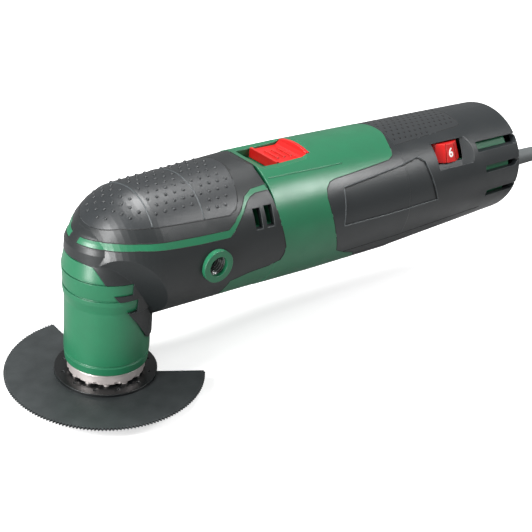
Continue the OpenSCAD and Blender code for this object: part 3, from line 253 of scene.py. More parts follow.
class Skin:
    """The joined outside of some pieces, on which lines and domes are laid."""

    def __init__(self, objects: Iterable[bpy.types.Object]) -> None:
        """Gathers the finished faces of the objects.

        Args:
            objects: The pieces that carry what is laid on them.
        """
        graph = bpy.context.evaluated_depsgraph_get()
        points: list[Vector] = []
        faces: list[list[int]] = []
        for item in objects:
            shown = item.evaluated_get(graph)
            mesh = shown.to_mesh()
            start = len(points)
            points.extend(shown.matrix_world @ v.co for v in mesh.vertices)
            faces.extend([start + i for i in p.vertices] for p in mesh.polygons)
            shown.to_mesh_clear()
        self.tree = BVHTree.FromPolygons(points, faces)

    def hit(self, origin: Vector, direction: Vector) -> Optional[Spot]:
        """The first place that a line meets, if there is one.

        Args:
            origin: Where the line starts, in metres.
            direction: Where it goes.

        Returns:
            The place with its direction outwards, or None.
        """
        place, out, _, _ = self.tree.ray_cast(origin, direction)
        if place is None:
            return None
        return Spot(place, out if out.dot(direction) < 0 else -out)

    def from_side(self, x: float, z: float, side: Side) -> Optional[Spot]:
        """The place met from the left or the right at x and z, in millimetres."""
        return self.hit(mm(x, side.value * SIDE_REACH, z), Vector((0, -side.value, 0)))

    def from_above(self, x: float, y: float) -> Optional[Spot]:
        """The place met from above at x and y, in millimetres."""
        return self.hit(mm(x, y, TOP_REACH), Vector((0, 0, -1)))

    def from_front(self, y: float, z: float, side: Side) -> Optional[Spot]:
        """The place met from the front, y out on one side and at z, in millimetres."""
        return self.hit(mm(FRONT_REACH, side.value * y, z), Vector((1, 0, 0)))

    def at_image(self, point: Point2) -> Spot:
        """Places what is laid on a surface in view: the spot behind an image point.

        Args:
            point: x and y in the photograph's frame.

        Returns:
            The spot met by the line of sight, or the one nearest to that line.
        """
        origin, toward = CAMERA.ray(point)
        spot = self.hit(origin, toward)
        if spot is not None:
            return spot
        best: tuple[float, Optional[Spot]] = (1e9, None)
        for step in range(1, SIGHT_STEPS):
            place, out, _, gap = self.tree.find_nearest(origin + toward * step * SIGHT_STEP)
            if place is not None and gap < best[0]:
                best = (gap, Spot(place, out))
        return best[1]


def make_object(name: str, points: Sequence[Vector], faces: Sequence[Sequence[int]],
                material: bpy.types.Material, body: Body) -> bpy.types.Object:
    """Makes a smoothly shaded mesh piece that rides on a body.

    Args:
        name: The piece's plain name.
        points: Its vertices, in metres.
        faces: Its faces, as vertex numbers.
        material: Its finish.
        body: The body that it moves with.

    Returns:
        The new object.
    """
    mesh = bpy.data.meshes.new(name)
    mesh.from_pydata([tuple(p) for p in points], [], [list(f) for f in faces])
    mesh.validate()
    mesh.polygons.foreach_set("use_smooth", [True] * len(mesh.polygons))
    mesh.materials.append(material)
    mesh.update()
    piece = link(name, mesh)
    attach(piece, body.value)
    return piece


def spread(points: Sequence[Point2], step: float = 0.8, closed: bool = False) -> list[Point2]:
    """Adds points along straight stretches, so that a line can follow a round surface.

    Args:
        points: The outline's corners, in millimetres.
        step: About how far apart the points end up.
        closed: Whether the last corner joins the first.

    Returns:
        The corners with the points between them.
    """
    ends = list(points) + ([points[0]] if closed else [])
    out: list[Point2] = []
    for a, b in zip(ends, ends[1:]):
        count = max(1, round(math.dist(a, b) / step))
        out.extend((a[0] + (b[0] - a[0]) * i / count, a[1] + (b[1] - a[1]) * i / count)
                   for i in range(count))
    if not closed:
        out.append(ends[-1])
    return out


class Collected:
    """Small marks that are gathered into one mesh."""

    points: list[Vector]
    faces: list[tuple[int, ...]]

    def make(self, name: str, finish: "Moulding") -> bpy.types.Object:
        """Makes what was collected into one piece of the housing."""
        return make_object(name, self.points, self.faces, Finish.of(finish), Body.HOUSING)


@dataclass
class LineMesh(Collected):
    """Collects fine ridges, or dark lines of painted shade along seams, that follow a surface."""

    width: float
    height: float
    sink: float = 0.00012
    shoulder: float = 0.34
    shoulder_lift: float = 0.72
    longest_step: float = 0.004
    points: list[Vector] = field(default_factory=list)
    faces: list[tuple[int, ...]] = field(default_factory=list)

    def add(self, spots: Sequence[Optional[Spot]]) -> None:
        """Adds one run of a line, broken where a spot is missing or jumps away.

        Args:
            spots: Neighbouring places on the surface.
        """
        run: list[Spot] = []
        for spot in list(spots) + [None]:
            if spot is not None and (not run or (
                    spot.place - run[-1].place).length < self.longest_step):
                run.append(spot)
                continue
            if len(run) > 2:
                self._sweep(run)
            run = [spot] if spot is not None else []

    def _sweep(self, run: Sequence[Spot]) -> None:
        """Sweeps a low half round section along one run.

        Args:
            run: Neighbouring places on the surface, without a gap.
        """
        start = len(self.points)
        brow = self.height * self.shoulder_lift
        shape = [(-0.5, -self.sink), (-self.shoulder, brow), (0.0, self.height),
                 (self.shoulder, brow), (0.5, -self.sink)]
        for i, spot in enumerate(run):
            along = (run[min(i + 1, len(run) - 1)].place - run[max(i - 1, 0)].place).normalized()
            across = along.cross(spot.out).normalized()
            for part, lift in shape:
                self.points.append(spot.place + across * part * self.width + spot.out * lift)
        size = len(shape)
        for i in range(len(run) - 1):
            for k in range(size - 1):
                a = start + i * size + k
                self.faces.append((a, a + 1, a + size + 1, a + size))
        self.faces.append(tuple(start + k for k in range(size - 1, -1, -1)))
        last = start + (len(run) - 1) * size
        self.faces.append(tuple(last + k for k in range(size)))


@dataclass
class DomeMesh(Collected):
    """Collects small round domes on a surface; very low ones in a dark finish stand for shaded
    dimples.
    """

    radius: float
    height: float
    sides: int = 10
    points: list[Vector] = field(default_factory=list)
    faces: list[tuple[int, ...]] = field(default_factory=list)

    def add(self, spot: Spot) -> None:
        """Adds one dome.

        Args:
            spot: The place on the surface under its middle.
        """
        start = len(self.points)
        seed = Vector((1, 0, 0)) if abs(spot.out.x) < 0.8 else Vector((0, 1, 0))
        side = spot.out.cross(seed).normalized()
        other = spot.out.cross(side)
        for share, lift in DOME_RINGS:
            for k in range(self.sides):
                a = 2 * math.pi * k / self.sides
                self.points.append(spot.place + (side * math.cos(a) + other * math.sin(a))
                                   * self.radius * share + spot.out * self.height * lift)
        self.points.append(spot.place + spot.out * self.height)
        top = len(self.points) - 1
        for ring in range(len(DOME_RINGS) - 1):
            for k in range(self.sides):
                first = start + ring * self.sides
                a, b = first + k, first + (k + 1) % self.sides
                self.faces.append((a, b, b + self.sides, a + self.sides))
        last = start + (len(DOME_RINGS) - 1) * self.sides
        for k in range(self.sides):
            self.faces.append((last + k, last + (k + 1) % self.sides, top))
        self.faces.append(tuple(start + k for k in range(self.sides - 1, -1, -1)))


# ---------------------------------------------------------------- finishes


class Recipe:
    """A material's node tree, with its shader and the places it is painted by."""

    def __init__(self, name: str) -> None:
        """Starts an empty finish.

        Args:
            name: The finish's plain name.
        """
        self.material = bpy.data.materials.new(name)
        self.material.use_nodes = True
        self.nodes = self.material.node_tree.nodes
        self.links = self.material.node_tree.links
        self.shader = self.nodes["Principled BSDF"]
        self.places = self.nodes.new("ShaderNodeTexCoord").outputs["Object"]

    def stretched(self, scale: tuple[float, float, float]) -> bpy.types.NodeSocket:
        """The places, stretched along the axes.

        Args:
            scale: How much along X, Y and Z.

        Returns:
            The stretched places.
        """
        mapping = self.nodes.new("ShaderNodeMapping")
        mapping.inputs["Scale"].default_value = scale
        self.links.new(self.places, mapping.inputs["Vector"])
        return mapping.outputs["Vector"]

    def noise(self, size: float, detail: float = 2.0,
              places: Optional[bpy.types.NodeSocket] = None) -> bpy.types.NodeSocket:
        """Soft noise.

        Args:
            size: About how large its lumps are, in metres.
            detail: How many finer layers it has.
            places: Where it is looked up, if not at the plain places.

        Returns:
            The noise, from 0 to 1.
        """
        node = self.nodes.new("ShaderNodeTexNoise")
        node.inputs["Scale"].default_value = 1.0 / size
        node.inputs["Detail"].default_value = detail
        self.links.new(places or self.places, node.inputs["Vector"])
        return node.outputs["Fac"]

    def ranged(self, value: bpy.types.NodeSocket, low: float, high: float,
               start: float = 0.3, end: float = 0.7) -> bpy.types.NodeSocket:
        """Maps a value on to another range.

        Args:
            value: The value.
            low: What start becomes.
            high: What end becomes.
            start: The lower end of the value's own range.
            end: The upper end of it.

        Returns:
            The mapped value, held between low and high.
        """
        node = self.nodes.new("ShaderNodeMapRange")
        for key, number in (("From Min", start), ("From Max", end),
                            ("To Min", low), ("To Max", high)):
            node.inputs[key].default_value = number
        self.links.new(value, node.inputs["Value"])
        return node.outputs["Result"]

    def mixed(self, factor: bpy.types.NodeSocket, first: Colour | bpy.types.NodeSocket,
              second: Colour | bpy.types.NodeSocket) -> bpy.types.NodeSocket:
        """Mixes two colours.

        Args:
            factor: 0 for the first colour, 1 for the second.
            first: The first colour, plain or painted.
            second: The second colour, plain or painted.

        Returns:
            The mixed colour.
        """
        node = self.nodes.new("ShaderNodeMix")
        node.data_type = "RGBA"
        self.links.new(factor, node.inputs["Factor"])
        for place, colour in ((6, first), (7, second)):
            if isinstance(colour, tuple):
                node.inputs[place].default_value = (*colour, 1.0)
            else:
                self.links.new(colour, node.inputs[place])
        return node.outputs[2]

    def times(self, first: bpy.types.NodeSocket,
              second: bpy.types.NodeSocket | float) -> bpy.types.NodeSocket:
        """Multiplies two values.

        Args:
            first: The first value.
            second: The second one, painted or a number.

        Returns:
            Their product.
        """
        node = self.nodes.new("ShaderNodeMath")
        node.operation = "MULTIPLY"
        self.links.new(first, node.inputs[0])
        if isinstance(second, float):
            node.inputs[1].default_value = second
        else:
            self.links.new(second, node.inputs[1])
        return node.outputs["Value"]

    def edge(self, radius: float) -> tuple[bpy.types.NodeSocket, bpy.types.NodeSocket]:
        """Softened edges.

        Args:
            radius: How far the softening reaches, in metres.

        Returns:
            The softened normal, and how much of an edge a place is.
        """
        bevel = self.nodes.new("ShaderNodeBevel")
        bevel.samples = 4
        bevel.inputs["Radius"].default_value = radius
        geometry = self.nodes.new("ShaderNodeNewGeometry")
        dot = self.nodes.new("ShaderNodeVectorMath")
        dot.operation = "DOT_PRODUCT"
        self.links.new(bevel.outputs["Normal"], dot.inputs[0])
        self.links.new(geometry.outputs["Normal"], dot.inputs[1])
        return bevel.outputs["Normal"], self.ranged(dot.outputs["Value"], 1.0, 0.0, 0.75, 0.995)

    def bump(self, height: bpy.types.NodeSocket, strength: float, depth: float,
             normal: Optional[bpy.types.NodeSocket] = None) -> bpy.types.NodeSocket:
        """A bumped normal.

        Args:
            height: The height that makes the bumps.
            strength: How much they count, from 0 to 1.
            depth: Their depth, in metres.
            normal: The normal under them, if not the plain one.

        Returns:
            The bumped normal.
        """
        node = self.nodes.new("ShaderNodeBump")
        node.inputs["Strength"].default_value = strength
        node.inputs["Distance"].default_value = depth
        self.links.new(height, node.inputs["Height"])
        if normal is not None:
            self.links.new(normal, node.inputs["Normal"])
        return node.outputs["Normal"]

    def feed(self, socket: str, value: bpy.types.NodeSocket | float | Colour) -> None:
        """Links or sets one input of the shader.

        Args:
            socket: The input's name.
            value: A painted value, a number or a colour.
        """
        target = self.shader.inputs[socket]
        if isinstance(value, (int, float)):
            target.default_value = value
        elif isinstance(value, tuple):
            target.default_value = (*value, 1.0)
        else:
            self.links.new(value, target)


@dataclass(frozen=True)
class Moulding:
    """A moulded plastic or soft grip, with fine spark grain, and edges painted lighter, partly as
    wear and partly as a painted highlight.
    """

    name: str
    colour: Colour
    edge_wear_and_highlight: Colour
    roughness: float = 0.38
    spread: float = 0.08
    grain: float = 0.00045
    depth: float = 0.00003
    specular: float = 0.5
    edge: float = 0.00045
    most_wear_and_highlight: float = 0.35
    least_wear_and_highlight: float = 0.15
    cloud: float = 0.011
    scuff: float = 0.0028
    shade: float = 0.88

    def build(self) -> bpy.types.Material:
        """Builds the finish.

        Returns:
            Its material.
        """
        recipe = Recipe(self.name)
        normal, rim = recipe.edge(self.edge)
        grain = recipe.noise(self.grain, 3.0)
        cloud = recipe.noise(self.cloud, 3.0)
        shade = tuple(c * self.shade for c in self.colour)
        body = recipe.mixed(recipe.ranged(cloud, 0.0, 1.0), self.colour, shade)
        scuffs = recipe.noise(self.scuff, 4.0)
        # Edges go towards a lighter colour: partly rubbed wear, partly a painted highlight.
        edge_wear_and_highlight = recipe.times(rim, recipe.ranged(scuffs, self.least_wear_and_highlight, self.most_wear_and_highlight))
        recipe.feed("Base Color", recipe.mixed(edge_wear_and_highlight, body, self.edge_wear_and_highlight))
        recipe.feed("Roughness", recipe.ranged(cloud, self.roughness, self.roughness + self.spread))
        recipe.feed("Specular IOR Level", self.specular)
        recipe.feed("Normal", recipe.bump(grain, 0.6, self.depth, normal))
        return recipe.material


@dataclass(frozen=True)
class Metal:
    """Turned, ground or drawn metal, with fine tool marks along one axis, and edges painted
    brighter, partly as worn polish and partly as a painted highlight.
    """

    name: str
    colour: Colour
    tarnish: Colour
    roughness: float = 0.3
    marks: tuple[float, float, float] = (1.0, 1.0, 14.0)
    size: float = 0.0016
    depth: float = 0.000012
    edge: float = 0.0003
    metallic: float = 1.0
    cloud: float = 0.009
    edge_polish_and_highlight: float = 1.25
    smoother: float = 0.05
    rougher: float = 0.12

    def build(self) -> bpy.types.Material:
        """Builds the finish.

        Returns:
            Its material.
        """
        recipe = Recipe(self.name)
        normal, rim = recipe.edge(self.edge)
        marks = recipe.noise(self.size, 3.0, recipe.stretched(self.marks))
        cloud = recipe.noise(self.cloud, 3.0)
        tone = recipe.mixed(recipe.ranged(cloud, 0.0, 1.0), self.colour, self.tarnish)
        # Edges are painted brighter: partly worn polish, partly a painted highlight.
        polished_and_highlit_edge = tuple(min(1.0, c * self.edge_polish_and_highlight) for c in self.colour)
        recipe.feed("Base Color", recipe.mixed(rim, tone, polished_and_highlit_edge))
        recipe.feed("Roughness", recipe.ranged(marks, self.roughness - self.smoother,
                                               self.roughness + self.rougher))
        recipe.feed("Metallic", self.metallic)
        recipe.feed("Normal", recipe.bump(marks, 0.5, self.depth, normal))
        return recipe.material


class Finish:
    """Every finish of the tool, built once."""

    GREEN = Moulding("green_plastic", linear(30, 102, 70), linear(112, 172, 146), 0.28, 0.06,
                     specular=0.55)
    GRIP = Moulding("dark_soft_grip", linear(30, 33, 34), linear(92, 98, 100), 0.34, 0.08,
                    depth=0.00004)
    COVER = Moulding("dark_cover_plastic", linear(30, 34, 36), linear(104, 110, 112), 0.30, 0.08,
                     specular=0.6)
    PAD = Moulding("soft_pad", linear(36, 39, 41), linear(116, 121, 123), 0.34, 0.08, depth=0.00005,
                   specular=0.6)
    LABEL = Moulding("label_field", linear(30, 34, 36), linear(72, 77, 79), 0.34, 0.06,
                     grain=0.0003, depth=0.00001, specular=0.6)
    # Near black: painted shade for the gaps at the seams, along the parting lines and in the rear
    # pad's dimples.
    GAP_SHADE = Moulding("painted_gap_shade", linear(7, 8, 9), linear(14, 16, 17), 0.6, 0.1, most_wear_and_highlight=0.1)
    # Lighter than the pads and covers: a painted highlight on the fine ridges.
    HIGHLIT_RIDGE = Moulding("ridge_painted_highlight", linear(62, 67, 69), linear(112, 118, 120), 0.34, 0.08)
    RED = Moulding("red_plastic", linear(190, 22, 20), linear(236, 130, 112), 0.32, 0.06,
                   edge=0.0004, most_wear_and_highlight=0.5)
    WHITE = Moulding("white_print", linear(236, 236, 232), linear(250, 250, 248), 0.5, 0.05)
    GREY_RUBBER = Moulding("grey_sleeve", linear(92, 96, 97), linear(150, 153, 154), 0.45, 0.1)
    BLACK_RUBBER = Moulding("black_cord", linear(34, 35, 36), linear(70, 71, 72), 0.5, 0.1,
                            grain=0.0006)
    INNER = Moulding("inner_plastic", linear(40, 41, 43), linear(70, 71, 73), 0.5, 0.1)
    BOARD = Moulding("circuit_board_green", linear(24, 84, 52), linear(70, 130, 96), 0.4, 0.08)
    YELLOW = Moulding("capacitor_yellow", linear(206, 172, 60), linear(226, 200, 110), 0.4, 0.08)
    BLUE = Moulding("potentiometer_blue", linear(44, 76, 128), linear(96, 122, 164), 0.4, 0.08)
    CARBON = Moulding("carbon", linear(30, 30, 31), linear(60, 60, 62), 0.6, 0.1)
    HUB = Moulding("hub_black", linear(16, 18, 19), linear(92, 97, 98), 0.26, 0.08,
                   depth=0.00001, most_wear_and_highlight=0.6)
    STEEL = Metal("turned_steel", linear(176, 176, 176), linear(150, 150, 151), 0.28)
    HOLDER = Metal("holder_steel", linear(214, 206, 203), linear(186, 178, 176), 0.36,
                   metallic=0.6)
    BLADE = Metal("blade_steel", linear(56, 60, 61), linear(44, 48, 49), 0.42,
                  (1.0, 9.0, 1.0), 0.0022, metallic=0.35)
    ALLOY = Metal("cast_alloy", linear(160, 162, 164), linear(132, 134, 136), 0.42,
                  (1.0, 1.0, 1.0), 0.0012)
    COPPER = Metal("copper", linear(184, 110, 62), linear(150, 86, 50), 0.35, (12.0, 1.0, 1.0))
    BRASS = Metal("brass", linear(190, 158, 92), linear(158, 128, 74), 0.32)

    _built: dict[str, bpy.types.Material] = {}

    @classmethod
    def of(cls, finish: Moulding | Metal) -> bpy.types.Material:
        """The material of a finish, built at its first use."""
        if finish.name not in cls._built:
            cls._built[finish.name] = finish.build()
        return cls._built[finish.name]


def dress(finish: Moulding | Metal, *nodes: str) -> None:
    """Puts a finish on some of the part's solids.

    Args:
        finish: The finish.
        nodes: The solids' names.
    """
    for node in nodes:
        item = frame["nodes"][node]
        item.data.materials.clear()
        item.data.materials.append(Finish.of(finish))
        log.info("dressed %s with %s", node, finish.name)


# ---------------------------------------------------------------- cord


@dataclass
class MainsLead:
    """The cord from the sleeve to its coil, and the plug at its end."""

    diameter: float = 7.0
    sleeve_end: float = 281.5
    height: float = 49.5
    floor_z: float = -7.7
    coil_centre: Point2 = (388.0, -12.0)
    coil_mid_r: float = 39.5
    turn_points: int = 18
    shift_angle: float = 90.0
    drop_angle: float = 110.0
    end_angle: float = 170.0

    def lead(self) -> list[Vector]:
        """The way from the sleeve to the coil, as in the part's source.

        Returns:
            The lead's points, in metres.
        """
        top = self.floor_z + 3 * self.diameter + self.diameter / 2
        return [mm(*p) for p in (
            (self.sleeve_end, 0, self.height), (301, 0, self.height - 0.1), (316, 0.2, 48.8),
            (326, 1, 45.6), (335, 3, 39.6), (343, 6, 32.2), (351, 9.8, 25.4), (360, 14, 20.4),
            (370, 17.4, 18.1), (380, 19.8, top), (388, 20.6, top))]

    def coil(self) -> list[Vector]:
        """The nine turns, wound in three columns and three layers from the top inside.

        Returns:
            The coil's points, in metres.
        """
        step = self.diameter
        radii = [self.coil_mid_r + step * k for k in (-1, 0, 1)]
        layers = [self.floor_z + step * (k + 0.5) for k in (2, 1, 0)]
        cells = [(0, 0), (1, 0), (2, 0), (2, 1), (1, 1), (0, 1), (0, 2), (1, 2), (2, 2)]
        starts = [270.0, 270.0, 247.5, 225.0, 225.0, 202.5, 180.0, 180.0]
        top = layers[0] + step
        points: list[Vector] = []
        for turn, (column, layer) in enumerate(cells):
            last = turn == len(cells) - 1
            for i in range(1, self.turn_points + 1):
                angle = 360.0 * i / self.turn_points
                if last and angle > self.end_angle:
                    break
                radius, z = radii[column], layers[layer]
                if not last:
                    share = ease(min(1.0, max(0.0, (angle - starts[turn]) / self.shift_angle)))
                    following = cells[turn + 1]
                    radius += (radii[following[0]] - radius) * share
                    z += (layers[following[1]] - z) * share
                if turn == 0:
                    z = top + (z - top) * ease(min(1.0, angle / self.drop_angle))
                a = math.radians(angle)
                points.append(mm(self.coil_centre[0] + radius * math.sin(a),
                                 self.coil_centre[1] + radius * math.cos(a), z))
        return points

    def tail(self, plug: "PlugBody") -> list[Vector]:
        """The way from the coil into the plug's neck, in hand-chosen steps.

        Args:
            plug: The plug at its end.

        Returns:
            The way from the coil into the plug's neck, in listed steps.
        """
        low = self.floor_z + self.diameter / 2
        return [mm(*p) for p in (
            (388, self.coil_centre[1] - self.coil_mid_r - self.diameter, low), (378, -58.2, low),
            (368, -57.2, low), (358, -55.8, low + 0.6), (349, -54.6, low + 2.0),
            (plug.x, plug.y, low + 3.2))]

    def build(self) -> None:
        plug = PlugBody()
        points = self.lead() + self.coil() + self.tail(plug)
        curve = bpy.data.curves.new("mains_cord", "CURVE")
        curve.dimensions = "3D"
        curve.resolution_u = 4
        curve.bevel_depth = self.diameter / 2 * MM
        curve.bevel_resolution = 4
        curve.use_fill_caps = True
        spline = curve.splines.new("BEZIER")
        spline.bezier_points.add(len(points) - 1)
        for knot, place in zip(spline.bezier_points, points):
            knot.co = place
            knot.handle_left_type = knot.handle_right_type = "AUTO"
        curve.materials.append(Finish.of(Finish.BLACK_RUBBER))
        cord = link("mains_cord", curve)
        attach(cord, Body.HOUSING.value)
        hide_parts("cord_tube", "cord_coil", "cord_tail")
        tuple(points[0])
        plug.build()


@dataclass
class PlugBody:
    """The moulded two-pin plug, drawn in sections along its length."""

    x: float = 340.0
    y: float = -53.6
    z: float = -0.7
    width: float = 34.0
    thickness: float = 14.0
    sides: int = 40

    def sections(self) -> list[tuple[float, float, float, float]]:
        """The sections along the plug.

        Returns:
            Of each, its place from the cord's end, half width, half thickness and squareness.
        """
        w, t = self.width / 2, self.thickness / 2
        return [(0, 4.1, 4.1, 2.0), (3, 4.4, 4.4, 2.0), (3.6, 3.8, 3.8, 2.0), (5.4, 3.8, 3.8, 2.0),
                (6, 4.8, 4.8, 2.0), (8.4, 5.0, 5.0, 2.0), (9, 4.2, 4.2, 2.0), (10.8, 4.2, 4.2, 2.0),
                (11.4, 5.5, 5.5, 2.0), (14, 6.4, 5.9, 2.2), (19, 9.4, 6.3, 2.6),
                (25, 13.0, 6.7, 3.2),
                (32, 15.6, t - 0.1, 3.6), (40, w - 0.4, t, 4.0), (48.6, w, t, 4.0),
                (49.6, w - 0.3, t - 0.3, 4.0), (50, w - 0.9, t - 0.9, 4.0)]

    def build(self) -> bpy.types.Object:
        """Makes the plug's body, which stands for the plain solid.

        Returns:
            The plug's shell.
        """
        points: list[Vector] = []
        for along, half_w, half_t, power in self.sections():
            for k in range(self.sides):
                a = 2 * math.pi * k / self.sides
                c, s = math.cos(a), math.sin(a)
                points.append(mm(
                    self.x - along,
                    self.y + half_w * math.copysign(abs(c) ** (2 / power), c),
                    self.z + half_t * math.copysign(abs(s) ** (2 / power), s)))
        last = len(self.sections()) - 1
        faces = [(i * self.sides + k, (i + 1) * self.sides + k,
                  (i + 1) * self.sides + (k + 1) % self.sides,
                  i * self.sides + (k + 1) % self.sides)
                 for i in range(last) for k in range(self.sides)]
        faces.append(tuple(range(self.sides)))
        faces.append(tuple(last * self.sides + k for k in range(self.sides - 1, -1, -1)))
        plug = make_object("plug_shell", points, faces, Finish.of(Finish.BLACK_RUBBER),
                           Body.HOUSING)
        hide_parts("plug_body")
        return plug


# ---------------------------------------------------------------- housing


@dataclass
class Housings:
    """The green housings, the grip and the rear covers, with their seams and pads."""

    axis_z: float = 55.6
    nose_x: float = 12.0
    nose_drop: float = 1.55
    nose_r: float = 28.1
    seam_x: float = 64.0
    rear_x: float = 143.5
    stripe_end: float = 2.7
    stripe_turn: float = 14.0
    stripe_step: float = 0.7
    stripe_face: float = -12.0
    stripe_close: tuple[float, ...] = (64.0, 64.7, 65.4, 66.1)
    pad_edge: tuple[Point2, ...] = (
        (-23, 14.2), (-16.4, 16.4), (-7.5, 17.1), (1.5, 16.9), (15, 16.6), (29, 16.4),
        (32.6, 18.1), (34.5, 20.1), (36.3, 23.5), (38, 27), (39.6, 29.0))
    stripe_low: tuple[Point2, ...] = (
        (-32, 8.4), (-23.8, 8.4), (-21.3, 8.6), (-17.2, 9.2), (-12.6, 9.7), (-5.3, 9.4),
        (3.3, 8.9), (12.5, 8.5), (27.3, 8.5), (30.2, 11), (35, 15.7), (38.6, 19.3),
        (41.1, 20.9), (44.2, 21.8), (50.5, 22.1))
    stripe_high: tuple[Point2, ...] = (
        (50.5, 23.9), (42.9, 23.3), (38.6, 21.5), (34.8, 17.5), (30.5, 13.9), (26.9, 11.6),
        (13, 11.7), (4, 11.9), (-4.7, 12.2), (-12, 12.3), (-18, 11.8), (-20.6, 11.4),
        (-22.5, 11), (-27.2, 10.7), (-32, 10.6))
    rear_edge: tuple[Point2, ...] = (
        (-0.3, 30.0), (-2.7, 28.3), (-5.1, 24.2), (-8.7, 23), (-21.8, 22.2), (-44.3, 21),
        (-47.7, 20.4), (-50.4, 18.4), (-51.3, 15.1), (-50.2, 9.2), (-47.4, -0.5), (-42.8, -11.6),
        (-35, -15.4), (-27.8, -17.9), (-25.8, -20.5), (-24.6, -24), (-24.6, -30.4))
    grip_rear: tuple[Point2, ...] = (
        (0, 28.2), (-1.6, 27.6), (-1.5, 24.1), (-0.6, 19.6), (0.1, 14.3), (1.6, 6.9), (3.8, -1.3),
        (3.4, -4.7), (2.2, -7.6), (-2.6, -9.1), (-12.8, -10.1), (-22.2, -12.5), (-23.2, -18.3),
        (-23.2, -29.4))
    label_edge: tuple[Point2, ...] = (
        (-40.4, 17.1), (-3.9, 19.8), (9.7, 21.4), (13.2, 19.4), (15.5, 12.8), (17.8, 6.5),
        (19.8, 1.4), (-13.5, 1), (-42.2, 1.3))
    rear_pad_edge: tuple[Point2, ...] = (
        (0, -14.8), (46, -11.9), (49.5, -11.3), (50.5, 0), (49.5, 11.3), (46, 11.9), (0, 14.8))
    arc_half_width: float = 26.0
    arc_bow: float = 3.4
    arc_slant: float = 0.2
    arc_steps: int = 60
    dome_pitch: float = 4.1
    dome_row_rise: float = 0.87
    dome_rows: int = 13
    dome_arc_clear: float = 1.5
    dome_low_clear: float = 2.2
    dome_rear_clear: float = 2.0
    dimple_x: float = 3.8
    dimple_y: float = 2.9
    dimple_clear: float = 1.6
    rear_pad_half: float = 14.8
    rear_pad_end: float = 48.0
    parting_step: float = 0.8
    parting_rise: float = 0.01
    insert_place: Point2 = (32.3, 54.0)
    insert_depth: float = 28.2
    thread_root: float = 3.45
    thread_crest: float = 4.02
    thread_pitch: float = 1.25
    thread_turns: int = 9
    thread_steps: int = 24

    def _moved(self, points: Sequence[Point2], x0: float) -> list[Point2]:
        """Outline points from their anchor to the frame, in millimetres."""
        return [(x0 + x, self.axis_z + z) for x, z in points]

    def dress_shells(self) -> None:
        """Puts the finishes on the housings, covers and pads."""
        dress(Finish.GREEN, "gear_housing", "motor_housing", "left_stripe", "right_stripe",
              "left_handle_ring", "right_handle_ring")
        dress(Finish.GRIP, "front_grip")
        dress(Finish.COVER, "left_rear_cover", "right_rear_cover")
        dress(Finish.PAD, "front_pad", "rear_pad")
        dress(Finish.LABEL, "left_label_plate", "right_label_plate")
        dress(Finish.STEEL, "left_thread_insert", "right_thread_insert", "housing_screws",
              "cover_screws")
        dress(Finish.GREY_RUBBER, "cord_sleeve")
        dress(Finish.BLACK_RUBBER, "cord_inlet")

    def skin(self, *nodes: str) -> Skin:
        """The outside of some of the solids."""
        return Skin(frame["nodes"][n] for n in nodes)

    def seams(self) -> None:
        """Lays thin dark lines of painted shade along the seams between the grip, the stripes, the
        pads and the covers.
        """
        shell = self.skin("front_grip", "front_pad", "left_stripe", "right_stripe", "motor_housing",
                          "left_rear_cover", "right_rear_cover", "rear_pad", "left_label_plate",
                          "right_label_plate")
        # Thin near-black lines: painted shade of the gaps between the parts.
        lines = LineMesh(0.0005, 0.00006)
        for side in Side:
            lines.add(self.side_spots(shell, self.pad_edge, self.nose_x, side))
            for edge in (self.stripe_low, self.stripe_high):
                lines.add(self.stripe_spots(shell, edge, side))
            lines.add([shell.from_front(self.stripe_end, z, side) for z in self.stripe_close])
            lines.add(self.side_spots(shell, self.grip_rear, self.seam_x, side))
            lines.add(self.side_spots(shell, self.rear_edge, self.rear_x, side))
            lines.add(self.side_spots(shell, self.label_edge, self.rear_x, side, closed=True))
        top = self._moved(self.pad_edge, self.nose_x)[-1][0]
        for x in (top, self.seam_x, self.rear_x):
            lines.add([shell.from_above(x, y * 0.5) for y in range(-16, 17)])
        lines.add([shell.from_above(self.rear_x + x, y) for x, y in spread(self.rear_pad_edge)])
        lines.make("seam_painted_shade", Finish.GAP_SHADE)
        log.info("dark seams laid")

    def side_spots(self, shell: Skin, edge: Sequence[Point2], x0: float, side: Side,
                   closed: bool = False) -> list[Optional[Spot]]:
        """Spots along an outline, as seen from one side.

        Args:
            shell: The outside to lie on.
            edge: The outline in the side view, from its anchor.
            x0: The anchor's place along the body, in millimetres.
            side: The side of the body.
            closed: Whether the outline closes on itself.

        Returns:
            The spots in their order.
        """
        return [shell.from_side(x, z, side)
                for x, z in spread(self._moved(edge, x0), closed=closed)]

    def stripe_spots(self, shell: Skin, edge: Sequence[Point2], side: Side) -> list[Optional[Spot]]:
        """Spots along a stripe's edge, from the nose to the collar.

        Args:
            shell: The outside to lie on.
            edge: The edge in the side view, from its anchor.
            side: The side of the body.

        Returns:
            The spots in their order.
        """
        places = sorted(spread(self._moved(edge, self.nose_x)))
        front: list[Optional[Spot]] = []
        y, z = self.stripe_end, places[0][1]
        while y < self.stripe_turn:
            spot = shell.from_front(y, z, side)
            if spot is None:
                break
            reached = spot.place.x / MM
            z = min(places, key=lambda p: abs(p[0] - reached))[1]
            front.append(shell.from_front(y, z, side))
            y += self.stripe_step
        start = reached if front else self.stripe_face
        return front + [shell.from_side(x, z, side) for x, z in places if x > start + 0.5]

    def ridges(self) -> None:
        """Lays the fine raised lines on the pads, the collar and the label fields; those on the pad
        and around the label fields are painted lighter, as a painted highlight.
        """
        pad = self.skin("front_pad")
        lines = LineMesh(0.0007, 0.00022)
        for point, reach in ((POINTS.front_arc, 24.0), (POINTS.rear_arc, 25.0)):
            middle = pad.at_image(point).place / MM
            ys = [i * reach / self.arc_steps for i in range(-self.arc_steps, self.arc_steps + 1)]
            lines.add([pad.from_above(self.arc_x(middle, y), y) for y in ys])
        lines.make("pad_arcs", Finish.HIGHLIT_RIDGE)

